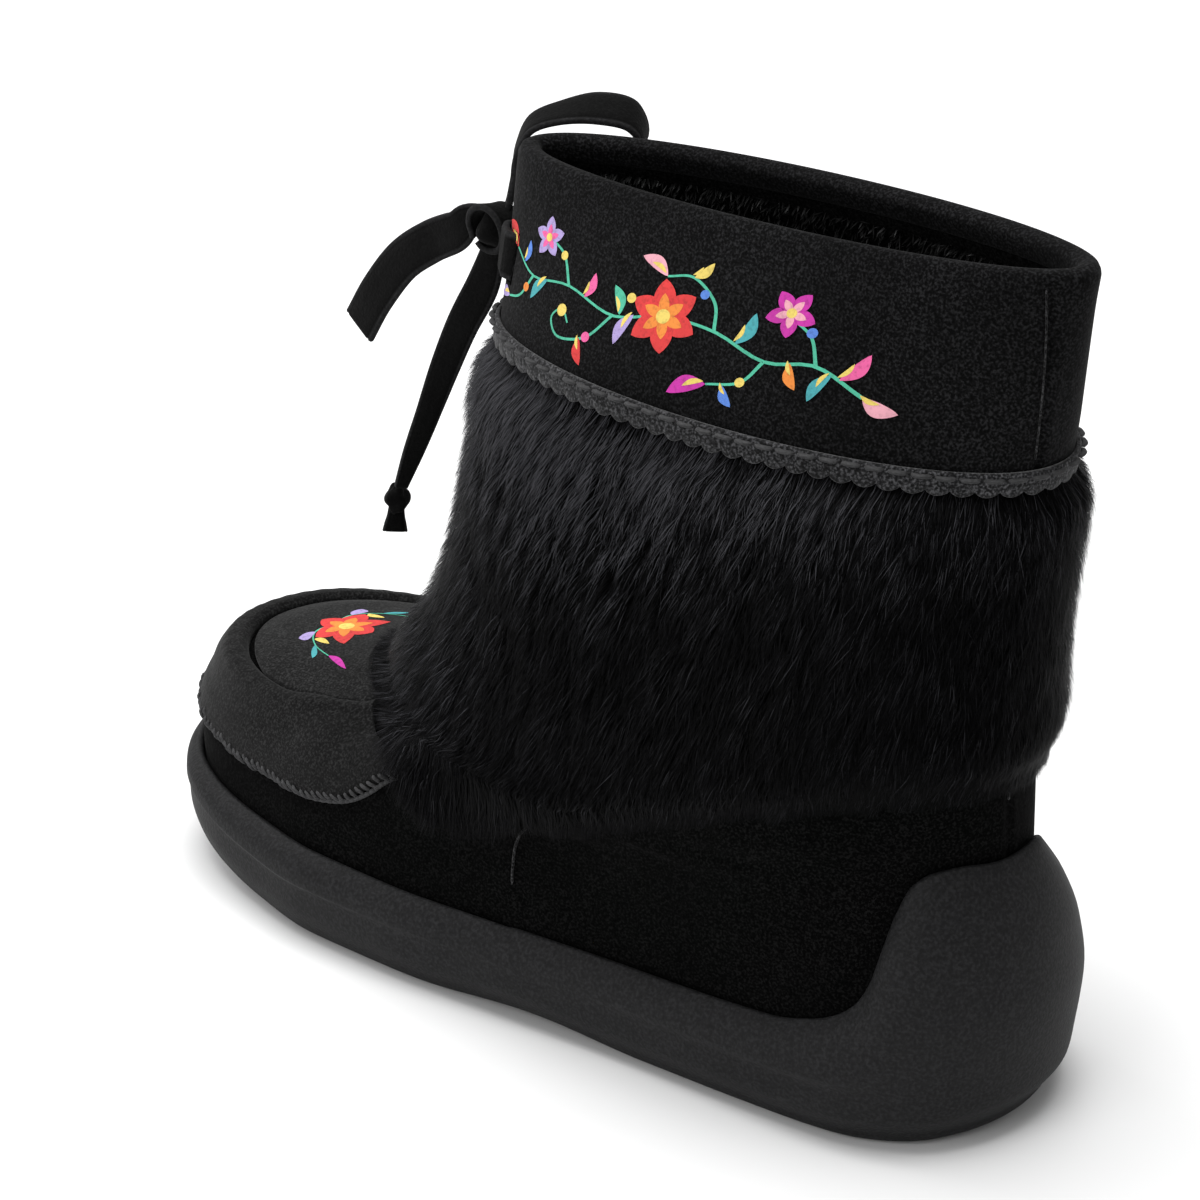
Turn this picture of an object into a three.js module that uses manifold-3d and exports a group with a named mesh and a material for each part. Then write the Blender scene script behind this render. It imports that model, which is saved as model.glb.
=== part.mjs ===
// A left mukluk boot: cup sole, insole, hollow suede upper, toe vamp and plug, fur band, cuff, pinked trim
// and a tied lace. Millimetres, +X towards the toe, +Y to the outer side, +Z up, standing on z = 0.
import * as THREE from 'three';
import { mergeVertices } from 'three/addons/utils/BufferGeometryUtils.js';
import Module from 'manifold-3d';

const wasm = await Module();
wasm.setup();

// Driving sizes
const SOLE_LENGTH = 285;
const BALL_WIDTH = 108.8;
const INSTEP_HEIGHT = 70;
const COLLAR_HEIGHT = 232;
const ANKLE_WIDTH = 90;
const COLLAR_LENGTH = 169;
const COLLAR_WIDTH = 38.4;
const UPPER_WALL = 2;
const FIT_GAP = 0.35;

// Sole
const SOLE_BULGE = 2.4;
const HEEL_FLARE = 0.9;
const TREAD_INSET = 5;
const CUP_EDGE_WALL = 2.4;
const TOE_SPRING = 11.7;
const HEEL_SPRING = 2.1;
const ARCH_RISE = 2.2;
const LUG_DEPTH = 3;
const LUG_GROOVE = 5;
const LUG_PITCH = 15;
const LUG_MARGIN = 10;
const INSOLE_THICKNESS = 4;

// Layers over the leather
const SEAM_STEP = 0.7;
const VAMP_THICKNESS = 1.8;
const VAMP_ROLL = 5;
const VAMP_COLUMNS = 24;
const PLUG_THICKNESS = 1.6;
const PLUG_CROWN = 1.2;
const FUR_GAP = 0.9;
const FUR_DEPTH = 10;
const FUR_LOCK_LENGTH = 7;
const FUR_LOCK_RELIEF = 1.6;
const FUR_LOCKS = 34;
const CUFF_THICKNESS = 2.9;
const TRIM_THICKNESS = 1.2;
const TRIM_DROP = 5;
const TRIM_LAP = 1.5;
const SCALLOP_PITCH = 5.9;
const SCALLOP_DEPTH = 1.3;

// Lace
const LACE_WIDTH = 12;
const LACE_THICKNESS = 1.8;
const LACE_HEIGHT = 200.5;
const SLIT_SPREAD = 15;
const SLIT_WIDTH = 3.4;
const SLIT_CLEARANCE = 0.7;
const KNOT_SIZE = 11;
const TIP_KNOT_SIZE = 7.4;
const TIP_TAIL = 9;

// Where the tread leaves the floor, as shares of the sole's length from the heel
const HEEL_REST = 0.09;
const ARCH_FROM = 0.32;
const ARCH_TO = 0.58;
const TOE_REST = 0.69;

const HALF_LENGTH = SOLE_LENGTH / 2;
const HALF_BALL = BALL_WIDTH / 2;
const HALF_ANKLE = ANKLE_WIDTH / 2;
const HALF_COLLAR = COLLAR_WIDTH / 2;
const TURNS = 38;
const SMALL = 1e-3;

// The sole's outline: along is the share of the length from the heel, and outer and inner are shares of half
// the ball width
const FOOTPRINT = [
  { along: 0, outer: 0, inner: 0 },
  { along: 0.015, outer: 0.344, inner: 0.344 },
  { along: 0.05, outer: 0.584, inner: 0.584 },
  { along: 0.12, outer: 0.752, inner: 0.752 },
  { along: 0.22, outer: 0.81, inner: 0.79 },
  { along: 0.35, outer: 0.854, inner: 0.745 },
  { along: 0.5, outer: 0.93, inner: 0.76 },
  { along: 0.62, outer: 0.985, inner: 0.84 },
  { along: 0.72, outer: 0.99, inner: 0.93 },
  { along: 0.8, outer: 0.93, inner: 0.97 },
  { along: 0.87, outer: 0.84, inner: 0.945 },
  { along: 0.93, outer: 0.69, inner: 0.83 },
  { along: 0.97, outer: 0.48, inner: 0.64 },
  { along: 0.99, outer: 0.28, inner: 0.4 },
  { along: 1, outer: 0, inner: 0 },
];

// Sections of the foot, from the foot bed to the fur's hem. back and front are shares of half the sole's
// length.
// heel and toe are heights as shares of the instep height, and sag is how far the section dips between them.
// half is a share of half the ball width, and widest is where along the section it is widest.
// print is the share of the footprint's outline in it, and spring is how far it follows the boot's springs.
const FOOT_ROWS = [
  {
    back: -0.947, front: 0.938, heel: 0.214, toe: 0.171, sag: 0, half: 0.9,
    widest: 0.46, blunt: 2.3, print: 1, spring: 1,
  },
  {
    back: -0.965, front: 0.964, heel: 0.407, toe: 0.314, sag: 0, half: 0.925,
    widest: 0.46, blunt: 2.3, print: 1, spring: 1,
  },
  {
    back: -0.964, front: 0.973, heel: 0.586, toe: 0.493, sag: 0, half: 0.915,
    widest: 0.46, blunt: 2.3, print: 0.95, spring: 0.75,
  },
  {
    back: -0.96, front: 0.96, heel: 0.714, toe: 0.666, sag: 0, half: 0.9,
    widest: 0.46, blunt: 2.3, print: 0.8, spring: 0.4,
  },
  {
    back: -0.956, front: 0.92, heel: 0.82, toe: 0.8, sag: 0.01, half: 0.875,
    widest: 0.46, blunt: 2.3, print: 0.5, spring: 0.15,
  },
  {
    back: -0.951, front: 0.835, heel: 0.92, toe: 0.857, sag: 0.02, half: 0.86,
    widest: 0.46, blunt: 2.25, print: 0.2, spring: 0,
  },
  {
    back: -0.946, front: 0.737, heel: 1.04, toe: 0.879, sag: 0.05, half: 0.855,
    widest: 0.45, blunt: 2.2, print: 0, spring: 0,
  },
  {
    back: -0.942, front: 0.632, heel: 1.17, toe: 0.9, sag: 0.08, half: 0.85,
    widest: 0.44, blunt: 2.2, print: 0, spring: 0,
  },
  {
    back: -0.939, front: 0.533, heel: 1.3, toe: 0.936, sag: 0.11, half: 0.845,
    widest: 0.44, blunt: 2.2, print: 0, spring: 0,
  },
  {
    back: -0.938, front: 0.442, heel: 1.43, toe: 1.0, sag: 0.12, half: 0.838,
    widest: 0.44, blunt: 2.15, print: 0, spring: 0,
  },
];

// Sections of the leg, up to the collar. heel and toe are shares of the height between instep and collar.
// forward is the share of the way from the collar's front to the instep's, and half runs from the collar's
// half width to the ankle's.
const LEG_ROWS = [
  { back: -0.939, forward: 0.759, heel: 0.24, toe: 0.068, sag: 0.1, half: 1.0, widest: 0.45, blunt: 2.15 },
  { back: -0.941, forward: 0.578, heel: 0.3, toe: 0.154, sag: 0.08, half: 0.961, widest: 0.46, blunt: 2.1 },
  { back: -0.946, forward: 0.398, heel: 0.39, toe: 0.284, sag: 0.05, half: 0.884, widest: 0.47, blunt: 2.1 },
  { back: -0.954, forward: 0.253, heel: 0.5, toe: 0.432, sag: 0.025, half: 0.787, widest: 0.48, blunt: 2.1 },
  { back: -0.964, forward: 0.145, heel: 0.61, toe: 0.574, sag: 0.01, half: 0.69, widest: 0.49, blunt: 2.1 },
  { back: -0.975, forward: 0.072, heel: 0.694, toe: 0.694, sag: 0, half: 0.624, widest: 0.5, blunt: 2.06 },
  { back: -1.0, forward: 0.036, heel: 0.845, toe: 0.83, sag: 0, half: 0.322, widest: 0.5, blunt: 2.06 },
  { back: -1.0265, forward: 0, heel: 1, toe: 0.97, sag: 0, half: 0, widest: 0.5, blunt: 2.06 },
];

// Named levels: places up the sections, as row numbers
const FLOOR = 0;
const HEM = FOOT_ROWS.length - 1;
const TRIM = HEM + 6;
const RIM = HEM + LEG_ROWS.length;

// The smooth line through a table's points, which never overshoots them
function smooth(places, values) {
  const last = places.length - 1;
  const rise = places.slice(1).map((place, i) => (values[i + 1] - values[i]) / (place - places[i]));
  const slope = values.map((_, i) => {
    if (i === 0) return rise[0];
    if (i === last) return rise[last - 1];
    const product = rise[i - 1] * rise[i];
    return product <= 0 ? 0 : (2 * product) / (rise[i - 1] + rise[i]);
  });
  return (at) => {
    const place = Math.min(Math.max(at, places[0]), places[last]);
    let i = 0;
    while (i < last - 1 && place > places[i + 1]) i += 1;
    const width = places[i + 1] - places[i];
    const t = (place - places[i]) / width;
    const rest = 1 - t;
    return (
      values[i] * (1 + 2 * t) * rest * rest +
      slope[i] * width * t * rest * rest +
      values[i + 1] * (3 - 2 * t) * t * t -
      slope[i + 1] * width * t * t * rest
    );
  };
}

const mix = (a, b, share) => a + (b - a) * share;
const clamp01 = (x) => Math.min(Math.max(x, 0), 1);
const ease = (x) => clamp01(x) ** 2 * (3 - 2 * clamp01(x));
const steps = (count) => Array.from({ length: count + 1 }, (_, i) => i / count);

// A turn runs once round the boot: 0 at the back, a quarter on the outer side, a half at the toe
const alongOf = (turn) => (1 - Math.cos(2 * Math.PI * turn)) / 2;
const isOuter = (turn) => turn - Math.floor(turn) < 0.5;
const angleOf = (along) => Math.acos(1 - 2 * along);

const printAngles = FOOTPRINT.map((row) => angleOf(row.along));
const outerPrint = smooth(printAngles, FOOTPRINT.map((row) => row.outer));
const innerPrint = smooth(printAngles, FOOTPRINT.map((row) => row.inner));

function printHalf(turn) {
  const angle = angleOf(alongOf(turn));
  return HALF_BALL * (isOuter(turn) ? outerPrint(angle) : innerPrint(angle));
}

// Rise of the whole boot's underside towards the toe and the heel
function spring(x) {
  const along = (x + HALF_LENGTH) / SOLE_LENGTH;
  const toe = TOE_SPRING * Math.max(0, (along - TOE_REST) / (1 - TOE_REST)) ** 2;
  const heel = HEEL_SPRING * Math.max(0, (HEEL_REST - along) / HEEL_REST) ** 2;
  return toe + heel;
}

// Height of the tread over the floor: the springs, and the arch between two flat spots
function ground(x) {
  const along = (x + HALF_LENGTH) / SOLE_LENGTH;
  const share = clamp01((along - ARCH_FROM) / (ARCH_TO - ARCH_FROM));
  return spring(x) + ARCH_RISE * Math.sin(Math.PI * share) ** 2;
}

// The rows of both tables in millimetres, and a smooth line up each of their columns
const legRise = COLLAR_HEIGHT - INSTEP_HEIGHT;
const collarFront = LEG_ROWS.at(-1).back * HALF_LENGTH + COLLAR_LENGTH;
const instepFront = FOOT_ROWS.at(-1).front * HALF_LENGTH;
const sections = [
  ...FOOT_ROWS.map((row) => ({
    back: row.back * HALF_LENGTH,
    front: row.front * HALF_LENGTH,
    heel: row.heel * INSTEP_HEIGHT,
    toe: row.toe * INSTEP_HEIGHT,
    sag: row.sag * INSTEP_HEIGHT,
    half: row.half * HALF_BALL,
    widest: row.widest,
    blunt: row.blunt,
    print: row.print,
    spring: row.spring,
  })),
  ...LEG_ROWS.map((row) => ({
    back: row.back * HALF_LENGTH,
    front: mix(collarFront, instepFront, row.forward),
    heel: INSTEP_HEIGHT + row.heel * legRise,
    toe: INSTEP_HEIGHT + row.toe * legRise,
    sag: row.sag * INSTEP_HEIGHT,
    half: mix(HALF_COLLAR, HALF_ANKLE, row.half),
    widest: row.widest,
    blunt: row.blunt,
    print: 0,
    spring: 0,
  })),
];
const levelsOfRows = sections.map((_, i) => i);
const column = Object.fromEntries(
  Object.keys(sections[0]).map((name) => [name, smooth(levelsOfRows, sections.map((row) => row[name]))]),
);

// Half width of an oval at a share of its length, blunt at the back and round at the front
function ovalHalf(along, widest, blunt) {
  if (along < widest) return (1 - ((widest - along) / widest) ** blunt) ** (1 / blunt);
  return Math.sqrt(Math.max(0, 1 - ((along - widest) / (1 - widest)) ** 2));
}

// A point of the leather's outer surface, before its steps and layers
function bare(level, turn) {
  const along = alongOf(turn);
  const x = mix(column.back(level), column.front(level), along);
  const dip = column.sag(level) * Math.sin(Math.PI * along ** 1.5);
  const z = mix(column.heel(level), column.toe(level), along) + column.spring(level) * spring(x) - dip;
  const half = column.half(level);
  const print = column.print(level);
  const oval = ovalHalf(along, column.widest(level), column.blunt(level));
  const width = print * (half / HALF_BALL) * printHalf(turn) + (1 - print) * half * oval;
  return new THREE.Vector3(x, isOuter(turn) ? width : -width, z);
}

// The outward direction there
function outward(level, turn) {
  const stepUp = 0.02;
  const stepRound = 0.004;
  const up = bare(Math.min(level + stepUp, RIM), turn).sub(bare(Math.max(level - stepUp, FLOOR), turn));
  const round = bare(level, turn + stepRound).sub(bare(level, turn - stepRound));
  return up.cross(round).normalize();
}

// The front half of the leather is one layer higher, from the side seam on
const SEAM_TURN = 0.24;
const SEAM_RUN = 0.003;
function seamStep(turn) {
  const fromFront = Math.abs(turn - Math.floor(turn) - 0.5);
  return SEAM_STEP * ease((0.5 - SEAM_TURN - fromFront) / SEAM_RUN + 0.5);
}

// The leather's outer surface, moved out by a distance
function skin(level, turn, out = 0) {
  const fade = clamp01(HEM - level);
  return bare(level, turn).addScaledVector(outward(level, turn), out + seamStep(turn) * fade);
}

// The level where the leather reaches a height, for places on the side of the boot
function levelAt(turn, height, from = FLOOR, to = RIM) {
  let low = from;
  let high = to;
  for (let i = 0; i < 30; i += 1) {
    const middle = (low + high) / 2;
    if (bare(middle, turn).z < height) low = middle;
    else high = middle;
  }
  return (low + high) / 2;
}

// Triangles as a closed mesh with its faces pointing out
function closedGeometry(points, triangles) {
  const geometry = new THREE.BufferGeometry();
  const places = points.flatMap((point) => point.toArray());
  geometry.setAttribute('position', new THREE.Float32BufferAttribute(places, 3));
  const volume = triangles.reduce(
    (sum, [a, b, c]) => sum + points[a].dot(points[b].clone().cross(points[c])) / 6,
    0,
  );
  geometry.setIndex(triangles.flatMap(([a, b, c]) => (volume > 0 ? [a, b, c] : [a, c, b])));
  return geometry;
}

// A solid between two grids of points, outside[row][column] and inside[row][column]; a ring closes on itself
function slab(outside, inside, ring) {
  const rows = outside.length;
  const columns = outside[0].length;
  const points = [...outside.flat(), ...inside.flat()];
  const at = (side, row, col) => side * rows * columns + row * columns + (col % columns);
  const triangles = [];
  const quad = (a, b, c, d) => triangles.push([a, b, c], [a, c, d]);
  for (let col = 0; col < (ring ? columns : columns - 1); col += 1) {
    for (let row = 0; row < rows - 1; row += 1) {
      quad(at(0, row, col), at(0, row, col + 1), at(0, row + 1, col + 1), at(0, row + 1, col));
      quad(at(1, row, col), at(1, row + 1, col), at(1, row + 1, col + 1), at(1, row, col + 1));
    }
    quad(at(1, 0, col), at(1, 0, col + 1), at(0, 0, col + 1), at(0, 0, col));
    quad(at(0, rows - 1, col), at(0, rows - 1, col + 1), at(1, rows - 1, col + 1), at(1, rows - 1, col));
  }
  if (!ring) {
    for (let row = 0; row < rows - 1; row += 1) {
      quad(at(0, row, 0), at(0, row + 1, 0), at(1, row + 1, 0), at(1, row, 0));
      const end = columns - 1;
      quad(at(0, row, end), at(1, row, end), at(1, row + 1, end), at(0, row + 1, end));
    }
  }
  return closedGeometry(points, triangles);
}

// A block whose side is a grid of rings, closed below and above by strips across the boot
function block(rings) {
  const columns = rings[0].length;
  const points = rings.flat();
  const triangles = [];
  const quad = (a, b, c, d) => triangles.push([a, b, c], [a, c, d]);
  for (let row = 0; row < rings.length - 1; row += 1) {
    for (let col = 0; col < columns; col += 1) {
      const next = (col + 1) % columns;
      quad(row * columns + col, row * columns + next, (row + 1) * columns + next, (row + 1) * columns + col);
    }
  }
  const cap = (row, up) => {
    const at = (col) => row * columns + (col % columns);
    for (let i = 0; i < columns / 2; i += 1) {
      const strip = [at(i), at(i + 1), at(columns - i - 1), at(columns - i)];
      const faces = [strip.slice(0, 3), [strip[0], strip[2], strip[3]]].filter((t) => new Set(t).size === 3);
      triangles.push(...faces.map((t) => (up ? t : [t[0], t[2], t[1]])));
    }
  };
  cap(0, false);
  cap(rings.length - 1, true);
  return closedGeometry(points, triangles);
}

// Booleans
function toSolid(geometry) {
  const plain = geometry.clone();
  plain.deleteAttribute('normal');
  plain.deleteAttribute('uv');
  const merged = mergeVertices(plain, SMALL);
  const vertProperties = new Float32Array(merged.attributes.position.array);
  const triVerts = new Uint32Array(merged.index.array);
  return new wasm.Manifold(new wasm.Mesh({ numProp: 3, vertProperties, triVerts }));
}

function toGeometry(solid) {
  const mesh = solid.getMesh();
  const geometry = new THREE.BufferGeometry();
  geometry.setAttribute('position', new THREE.BufferAttribute(new Float32Array(mesh.vertProperties), 3));
  geometry.setIndex(new THREE.BufferAttribute(new Uint32Array(mesh.triVerts), 1));
  return geometry;
}

// Height of the sole's top edge over the ground line, as shares of the instep height, from the heel on
const CUP_EDGE = [
  { along: 0, rise: 1.055 },
  { along: 0.02, rise: 1.08 },
  { along: 0.038, rise: 1.07 },
  { along: 0.055, rise: 1.02 },
  { along: 0.064, rise: 0.915 },
  { along: 0.07, rise: 0.765 },
  { along: 0.077, rise: 0.64 },
  { along: 0.09, rise: 0.545 },
  { along: 0.108, rise: 0.49 },
  { along: 0.13, rise: 0.455 },
  { along: 0.17, rise: 0.42 },
  { along: 0.3, rise: 0.4 },
  { along: 0.6, rise: 0.385 },
  { along: 0.75, rise: 0.39 },
  { along: 0.9, rise: 0.365 },
  { along: 1, rise: 0.33 },
];
const cupEdge = smooth(CUP_EDGE.map((row) => row.along), CUP_EDGE.map((row) => row.rise * INSTEP_HEIGHT));

// Turns of the leather's columns: even ones, with more where the cup's edge bends and at the side seam
const bendTurns = CUP_EDGE.filter((row) => row.along > 0.03 && row.along < 0.12).map(
  (row) => angleOf(row.along) / (2 * Math.PI),
);
const ownTurns = [...bendTurns, SEAM_TURN - SEAM_RUN / 2, SEAM_TURN + SEAM_RUN / 2];
const evenTurns = steps(TURNS / 2).map((share) => share / 2);
const halfTurns = [
  ...ownTurns,
  ...evenTurns.filter((turn) => ownTurns.every((own) => Math.abs(own - turn) > 0.1 / TURNS)),
].sort((a, b) => a - b);
const wholeTurns = [...halfTurns, ...halfTurns.slice(1, -1).map((turn) => 1 - turn).reverse()];
const upperLevels = sections.map((_, i) => i).filter((level) => level !== TRIM - 1);

// The boot's solid form, the leather's outside moved out by a distance, for cutting what fits round it
function bootForm(out) {
  const rings = upperLevels.map((level) => wholeTurns.map((turn) => skin(level, turn, out)));
  const above = rings.at(-1).map((point) => point.clone().setZ(point.z + CUFF_THICKNESS));
  return block([...rings, above]);
}

// A layer over the leather. Its grid gives each row and column a turn, a level and a distance from the
// leather.
function layer({ rows, columns, ring, place, inner, outer }) {
  const grid = (out) =>
    rows.map((row) =>
      columns.map((col) => {
        const { turn, level } = place(col, row);
        return skin(level, turn, out(col, row));
      }),
    );
  return slab(grid(outer), grid(inner), ring);
}

// The same layer with its back cut to lie a fit gap off the leather
function fittedLayer(options) {
  const sunk = layer({ ...options, inner: () => -UPPER_WALL / 2 });
  return toGeometry(toSolid(sunk).subtract(toSolid(bootForm(FIT_GAP))));
}

// The level a distance above or below another, along the leather
function levelOver(level, turn, rise) {
  const legs = 6;
  for (let i = 0; i < legs; i += 1) {
    const perLevel = bare(level + SMALL, turn).distanceTo(bare(level - SMALL, turn)) / (2 * SMALL);
    level += rise / legs / perLevel;
  }
  return level;
}

// Upper: one hollow solid, open at the collar and underneath
function upper() {
  const wall = (out) => upperLevels.map((level) => wholeTurns.map((turn) => skin(level, turn, out)));
  return slab(wall(0), wall(-UPPER_WALL), true);
}

// Sole: its side in steps of rise, a height over the ground, and outset, a distance beyond the footprint
const SOLE_SIDE = [
  { rise: 0, outset: -TREAD_INSET },
  { rise: 1.3, outset: -TREAD_INSET * 0.5 },
  { rise: 4.5, outset: -TREAD_INSET * 0.1 },
  { rise: 10, outset: SOLE_BULGE * 0.75 },
  { rise: 17, outset: SOLE_BULGE },
];
// Above its widest line the side leans in to the leather, in these shares of the way up
const CUP_RISES = [0.3, 0.55, 0.8, 0.93, 1];

function footprint(turn, outset) {
  const place = (at) => {
    const half = printHalf(at);
    return new THREE.Vector3(mix(-HALF_LENGTH, HALF_LENGTH, alongOf(at)), isOuter(at) ? half : -half, 0);
  };
  const along = place(turn + 0.004).sub(place(turn - 0.004)).normalize();
  return place(turn).add(new THREE.Vector3(-along.y, along.x, 0).multiplyScalar(outset));
}

function soleColumn(turn) {
  const heelward = 1 + HEEL_FLARE * (1 - alongOf(turn)) ** 6 - HEEL_FLARE * alongOf(turn) ** 6;
  const low = SOLE_SIDE.map(({ rise, outset }) => {
    const point = footprint(turn, outset > 0 ? outset * heelward : outset);
    const arch = (ground(point.x) - spring(point.x)) * (1 - rise / SOLE_SIDE.at(-1).rise);
    point.z = spring(point.x) + arch + rise;
    return point;
  });
  const widest = low.at(-1);
  const top = cupEdge(alongOf(turn)) + spring(bare(1, turn).x);
  const wallBelow = widest.clone().sub(skin(levelAt(turn, widest.z), turn)).setZ(0).length();
  const high = CUP_RISES.map((share) =>
    skin(levelAt(turn, mix(widest.z, top, share)), turn, mix(wallBelow, CUP_EDGE_WALL, share ** 3)),
  );
  return [...low, ...high];
}

// Grooves across the tread, between the lugs, that stop short of its edge
const LUG_FIELDS = [
  { from: 0.1, to: 0.32 },
  { from: 0.6, to: 0.88 },
];

function lugGroove(along) {
  const turn = angleOf(along) / (2 * Math.PI);
  const outerHalf = printHalf(turn) - LUG_MARGIN;
  const innerHalf = printHalf(1 - turn) - LUG_MARGIN;
  const x = mix(-HALF_LENGTH, HALF_LENGTH, along);
  const slope = Math.atan((ground(x + 1) - ground(x - 1)) / 2);
  const cutter = new THREE.BoxGeometry(LUG_GROOVE, outerHalf + innerHalf, LUG_DEPTH * 2);
  return cutter.rotateY(-slope).translate(x, (outerHalf - innerHalf) / 2, ground(x));
}

function sole() {
  const columns = wholeTurns.map(soleColumn);
  const rings = columns[0].map((_, row) => columns.map((points) => points[row]));
  const body = toSolid(block(rings)).subtract(toSolid(bootForm(FIT_GAP)));
  const grooves = LUG_FIELDS.flatMap(({ from, to }) => {
    const pitches = Math.floor(((to - from) * SOLE_LENGTH) / LUG_PITCH);
    return steps(pitches).map((share) => lugGroove(mix(from, to, share)));
  });
  return toGeometry(grooves.reduce((solid, groove) => solid.subtract(toSolid(groove)), body));
}

// Insole: a slab on the foot bed, inside the leather
function insole() {
  const inset = -UPPER_WALL - 2 * FIT_GAP;
  const ring = (lift) =>
    wholeTurns.map((turn) => skin(FLOOR, turn, inset).setZ(bare(FLOOR, turn).z + lift));
  return block([ring(0), ring(INSOLE_THICKNESS)]);
}

// The vamp's two edges on each side of the toe, as turns away from it: low for the rough seam over the sole
// and high for the seam round the plug, each with its level
const VAMP_EDGES = [
  { low: 0, lowLevel: 2.45, high: 0, highLevel: 4.52 },
  { low: 0.04, lowLevel: 2.44, high: 0.035, highLevel: 4.52 },
  { low: 0.08, lowLevel: 2.43, high: 0.07, highLevel: 4.54 },
  { low: 0.115, lowLevel: 2.42, high: 0.1, highLevel: 4.64 },
  { low: 0.145, lowLevel: 2.5, high: 0.123, highLevel: 5.0 },
  { low: 0.17, lowLevel: 2.58, high: 0.1286, highLevel: 5.6 },
  { low: 0.188, lowLevel: 2.85, high: 0.1265, highLevel: 6.3 },
  { low: 0.199, lowLevel: 3.5, high: 0.118, highLevel: 7.2 },
  { low: 0.204, lowLevel: 4.7, high: 0.1065, highLevel: 7.85 },
];
const vampShares = VAMP_EDGES.map((_, i) => i / (VAMP_EDGES.length - 1));
const vampEdge = Object.fromEntries(
  Object.keys(VAMP_EDGES[0]).map((name) => [name, smooth(vampShares, VAMP_EDGES.map((row) => row[name]))]),
);

// Thickness of the vamp from its low edge to the plug: flat, then a padded roll that turns down to the seam
const VAMP_PROFILE = [
  { share: 0, roll: 0 },
  { share: 0.35, roll: 0 },
  { share: 0.62, roll: 0.45 },
  { share: 0.82, roll: 1 },
  { share: 0.94, roll: 0.85 },
  { share: 1, roll: 0 },
];
const vampRoll = smooth(VAMP_PROFILE.map((row) => row.share), VAMP_PROFILE.map((row) => row.roll));

// Vamp: wraps the toe from side to side, side running from -1 through the toe to 1
function vamp() {
  const sides = steps(VAMP_COLUMNS).map((share) => 2 * share - 1);
  return fittedLayer({
    rows: VAMP_PROFILE.map((row) => row.share),
    columns: sides,
    ring: false,
    place: (side, share) => {
      const at = Math.abs(side);
      const away = mix(vampEdge.low(at), vampEdge.high(at), share);
      return {
        turn: 0.5 + Math.sign(side) * away,
        level: mix(vampEdge.lowLevel(at), vampEdge.highLevel(at), share),
      };
    },
    outer: (_, share) => mix(VAMP_THICKNESS, VAMP_ROLL, vampRoll(share)),
  });
}

// Plug: the panel inside the vamp's roll, a little crowned
function toePlug() {
  const rows = VAMP_EDGES.slice(3).map((row) => ({ level: row.highLevel, away: row.high }));
  const clear = 2 * FIT_GAP;
  const perTurn = Math.PI * BALL_WIDTH;
  const perLevel = (INSTEP_HEIGHT * (FOOT_ROWS[6].heel - FOOT_ROWS[4].heel)) / 2;
  return fittedLayer({
    rows,
    columns: steps(8).map((share) => 2 * share - 1),
    ring: false,
    place: (side, row) => ({
      turn: 0.5 - side * (row.away - clear / perTurn),
      level: row.level + (row === rows[0] ? clear / perLevel : 0),
    }),
    outer: (side, row) => PLUG_THICKNESS + (row === rows[0] ? 0 : PLUG_CROWN * (1 - side * side)),
  });
}

// The fur's hem: how its level sinks over the instep's sides and rises over the heel
const FUR_HEM = [
  { turn: 0, level: 9.0 },
  { turn: 0.1, level: 9.2 },
  { turn: 0.15, level: 9.1 },
  { turn: 0.18, level: 8.9 },
  { turn: 0.2, level: 8.6 },
  { turn: 0.225, level: 8.0 },
  { turn: 0.25, level: 7.1 },
  { turn: 0.27, level: 6.5 },
  { turn: 0.29, level: 6.3 },
  { turn: 0.31, level: 6.6 },
  { turn: 0.34, level: 7.7 },
  { turn: 0.385, level: 8.7 },
  { turn: 0.42, level: 9.0 },
  { turn: 0.5, level: 9.1 },
];
const furHem = smooth(FUR_HEM.map((row) => row.turn), FUR_HEM.map((row) => row.level));

// Depth of the fur up its height, as a share of its full depth, and how far its locks stand out there
const FUR_PROFILE = [
  { share: 0, depth: 0.4, lock: 0 },
  { share: 0.07, depth: 0.72, lock: 1 },
  { share: 0.2, depth: 0.86, lock: 1 },
  { share: 0.36, depth: 0.84, lock: 0.9 },
  { share: 0.6, depth: 0.88, lock: 0.8 },
  { share: 0.82, depth: 1, lock: 0.7 },
  { share: 0.9, depth: 0.8, lock: 0.3 },
  { share: 0.945, depth: 0.3, lock: 0 },
  { share: 1, depth: 0.29, lock: 0 },
];

// Fur band: deep fur with pointed locks at its hem
function furBand() {
  const columns = steps(2 * FUR_LOCKS).slice(0, -1);
  const isTip = (turn) => Math.round(turn * 2 * FUR_LOCKS) % 2;
  return layer({
    rows: FUR_PROFILE,
    columns,
    ring: true,
    place: (turn, row) => {
      const hem = furHem(Math.min(turn, 1 - turn));
      const lowest = levelOver(hem, turn, -isTip(turn) * FUR_LOCK_LENGTH);
      const top = levelOver(TRIM, turn, -FIT_GAP);
      return { turn, level: mix(row.share === 0 ? lowest : hem, top, row.share) };
    },
    inner: () => FUR_GAP,
    outer: (turn, row) => FUR_DEPTH * row.depth + (isTip(turn) - 0.5) * FUR_LOCK_RELIEF * row.lock,
  });
}

// Cuff: the collar's band of suede, with a slit on each side of its front for the lace
const cuffOut = FIT_GAP + CUFF_THICKNESS;
const laceLevel = levelAt(0.5, LACE_HEIGHT);
const laceHalfLevels = levelAt(0.5, LACE_HEIGHT + LACE_WIDTH / 2) - laceLevel;

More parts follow.
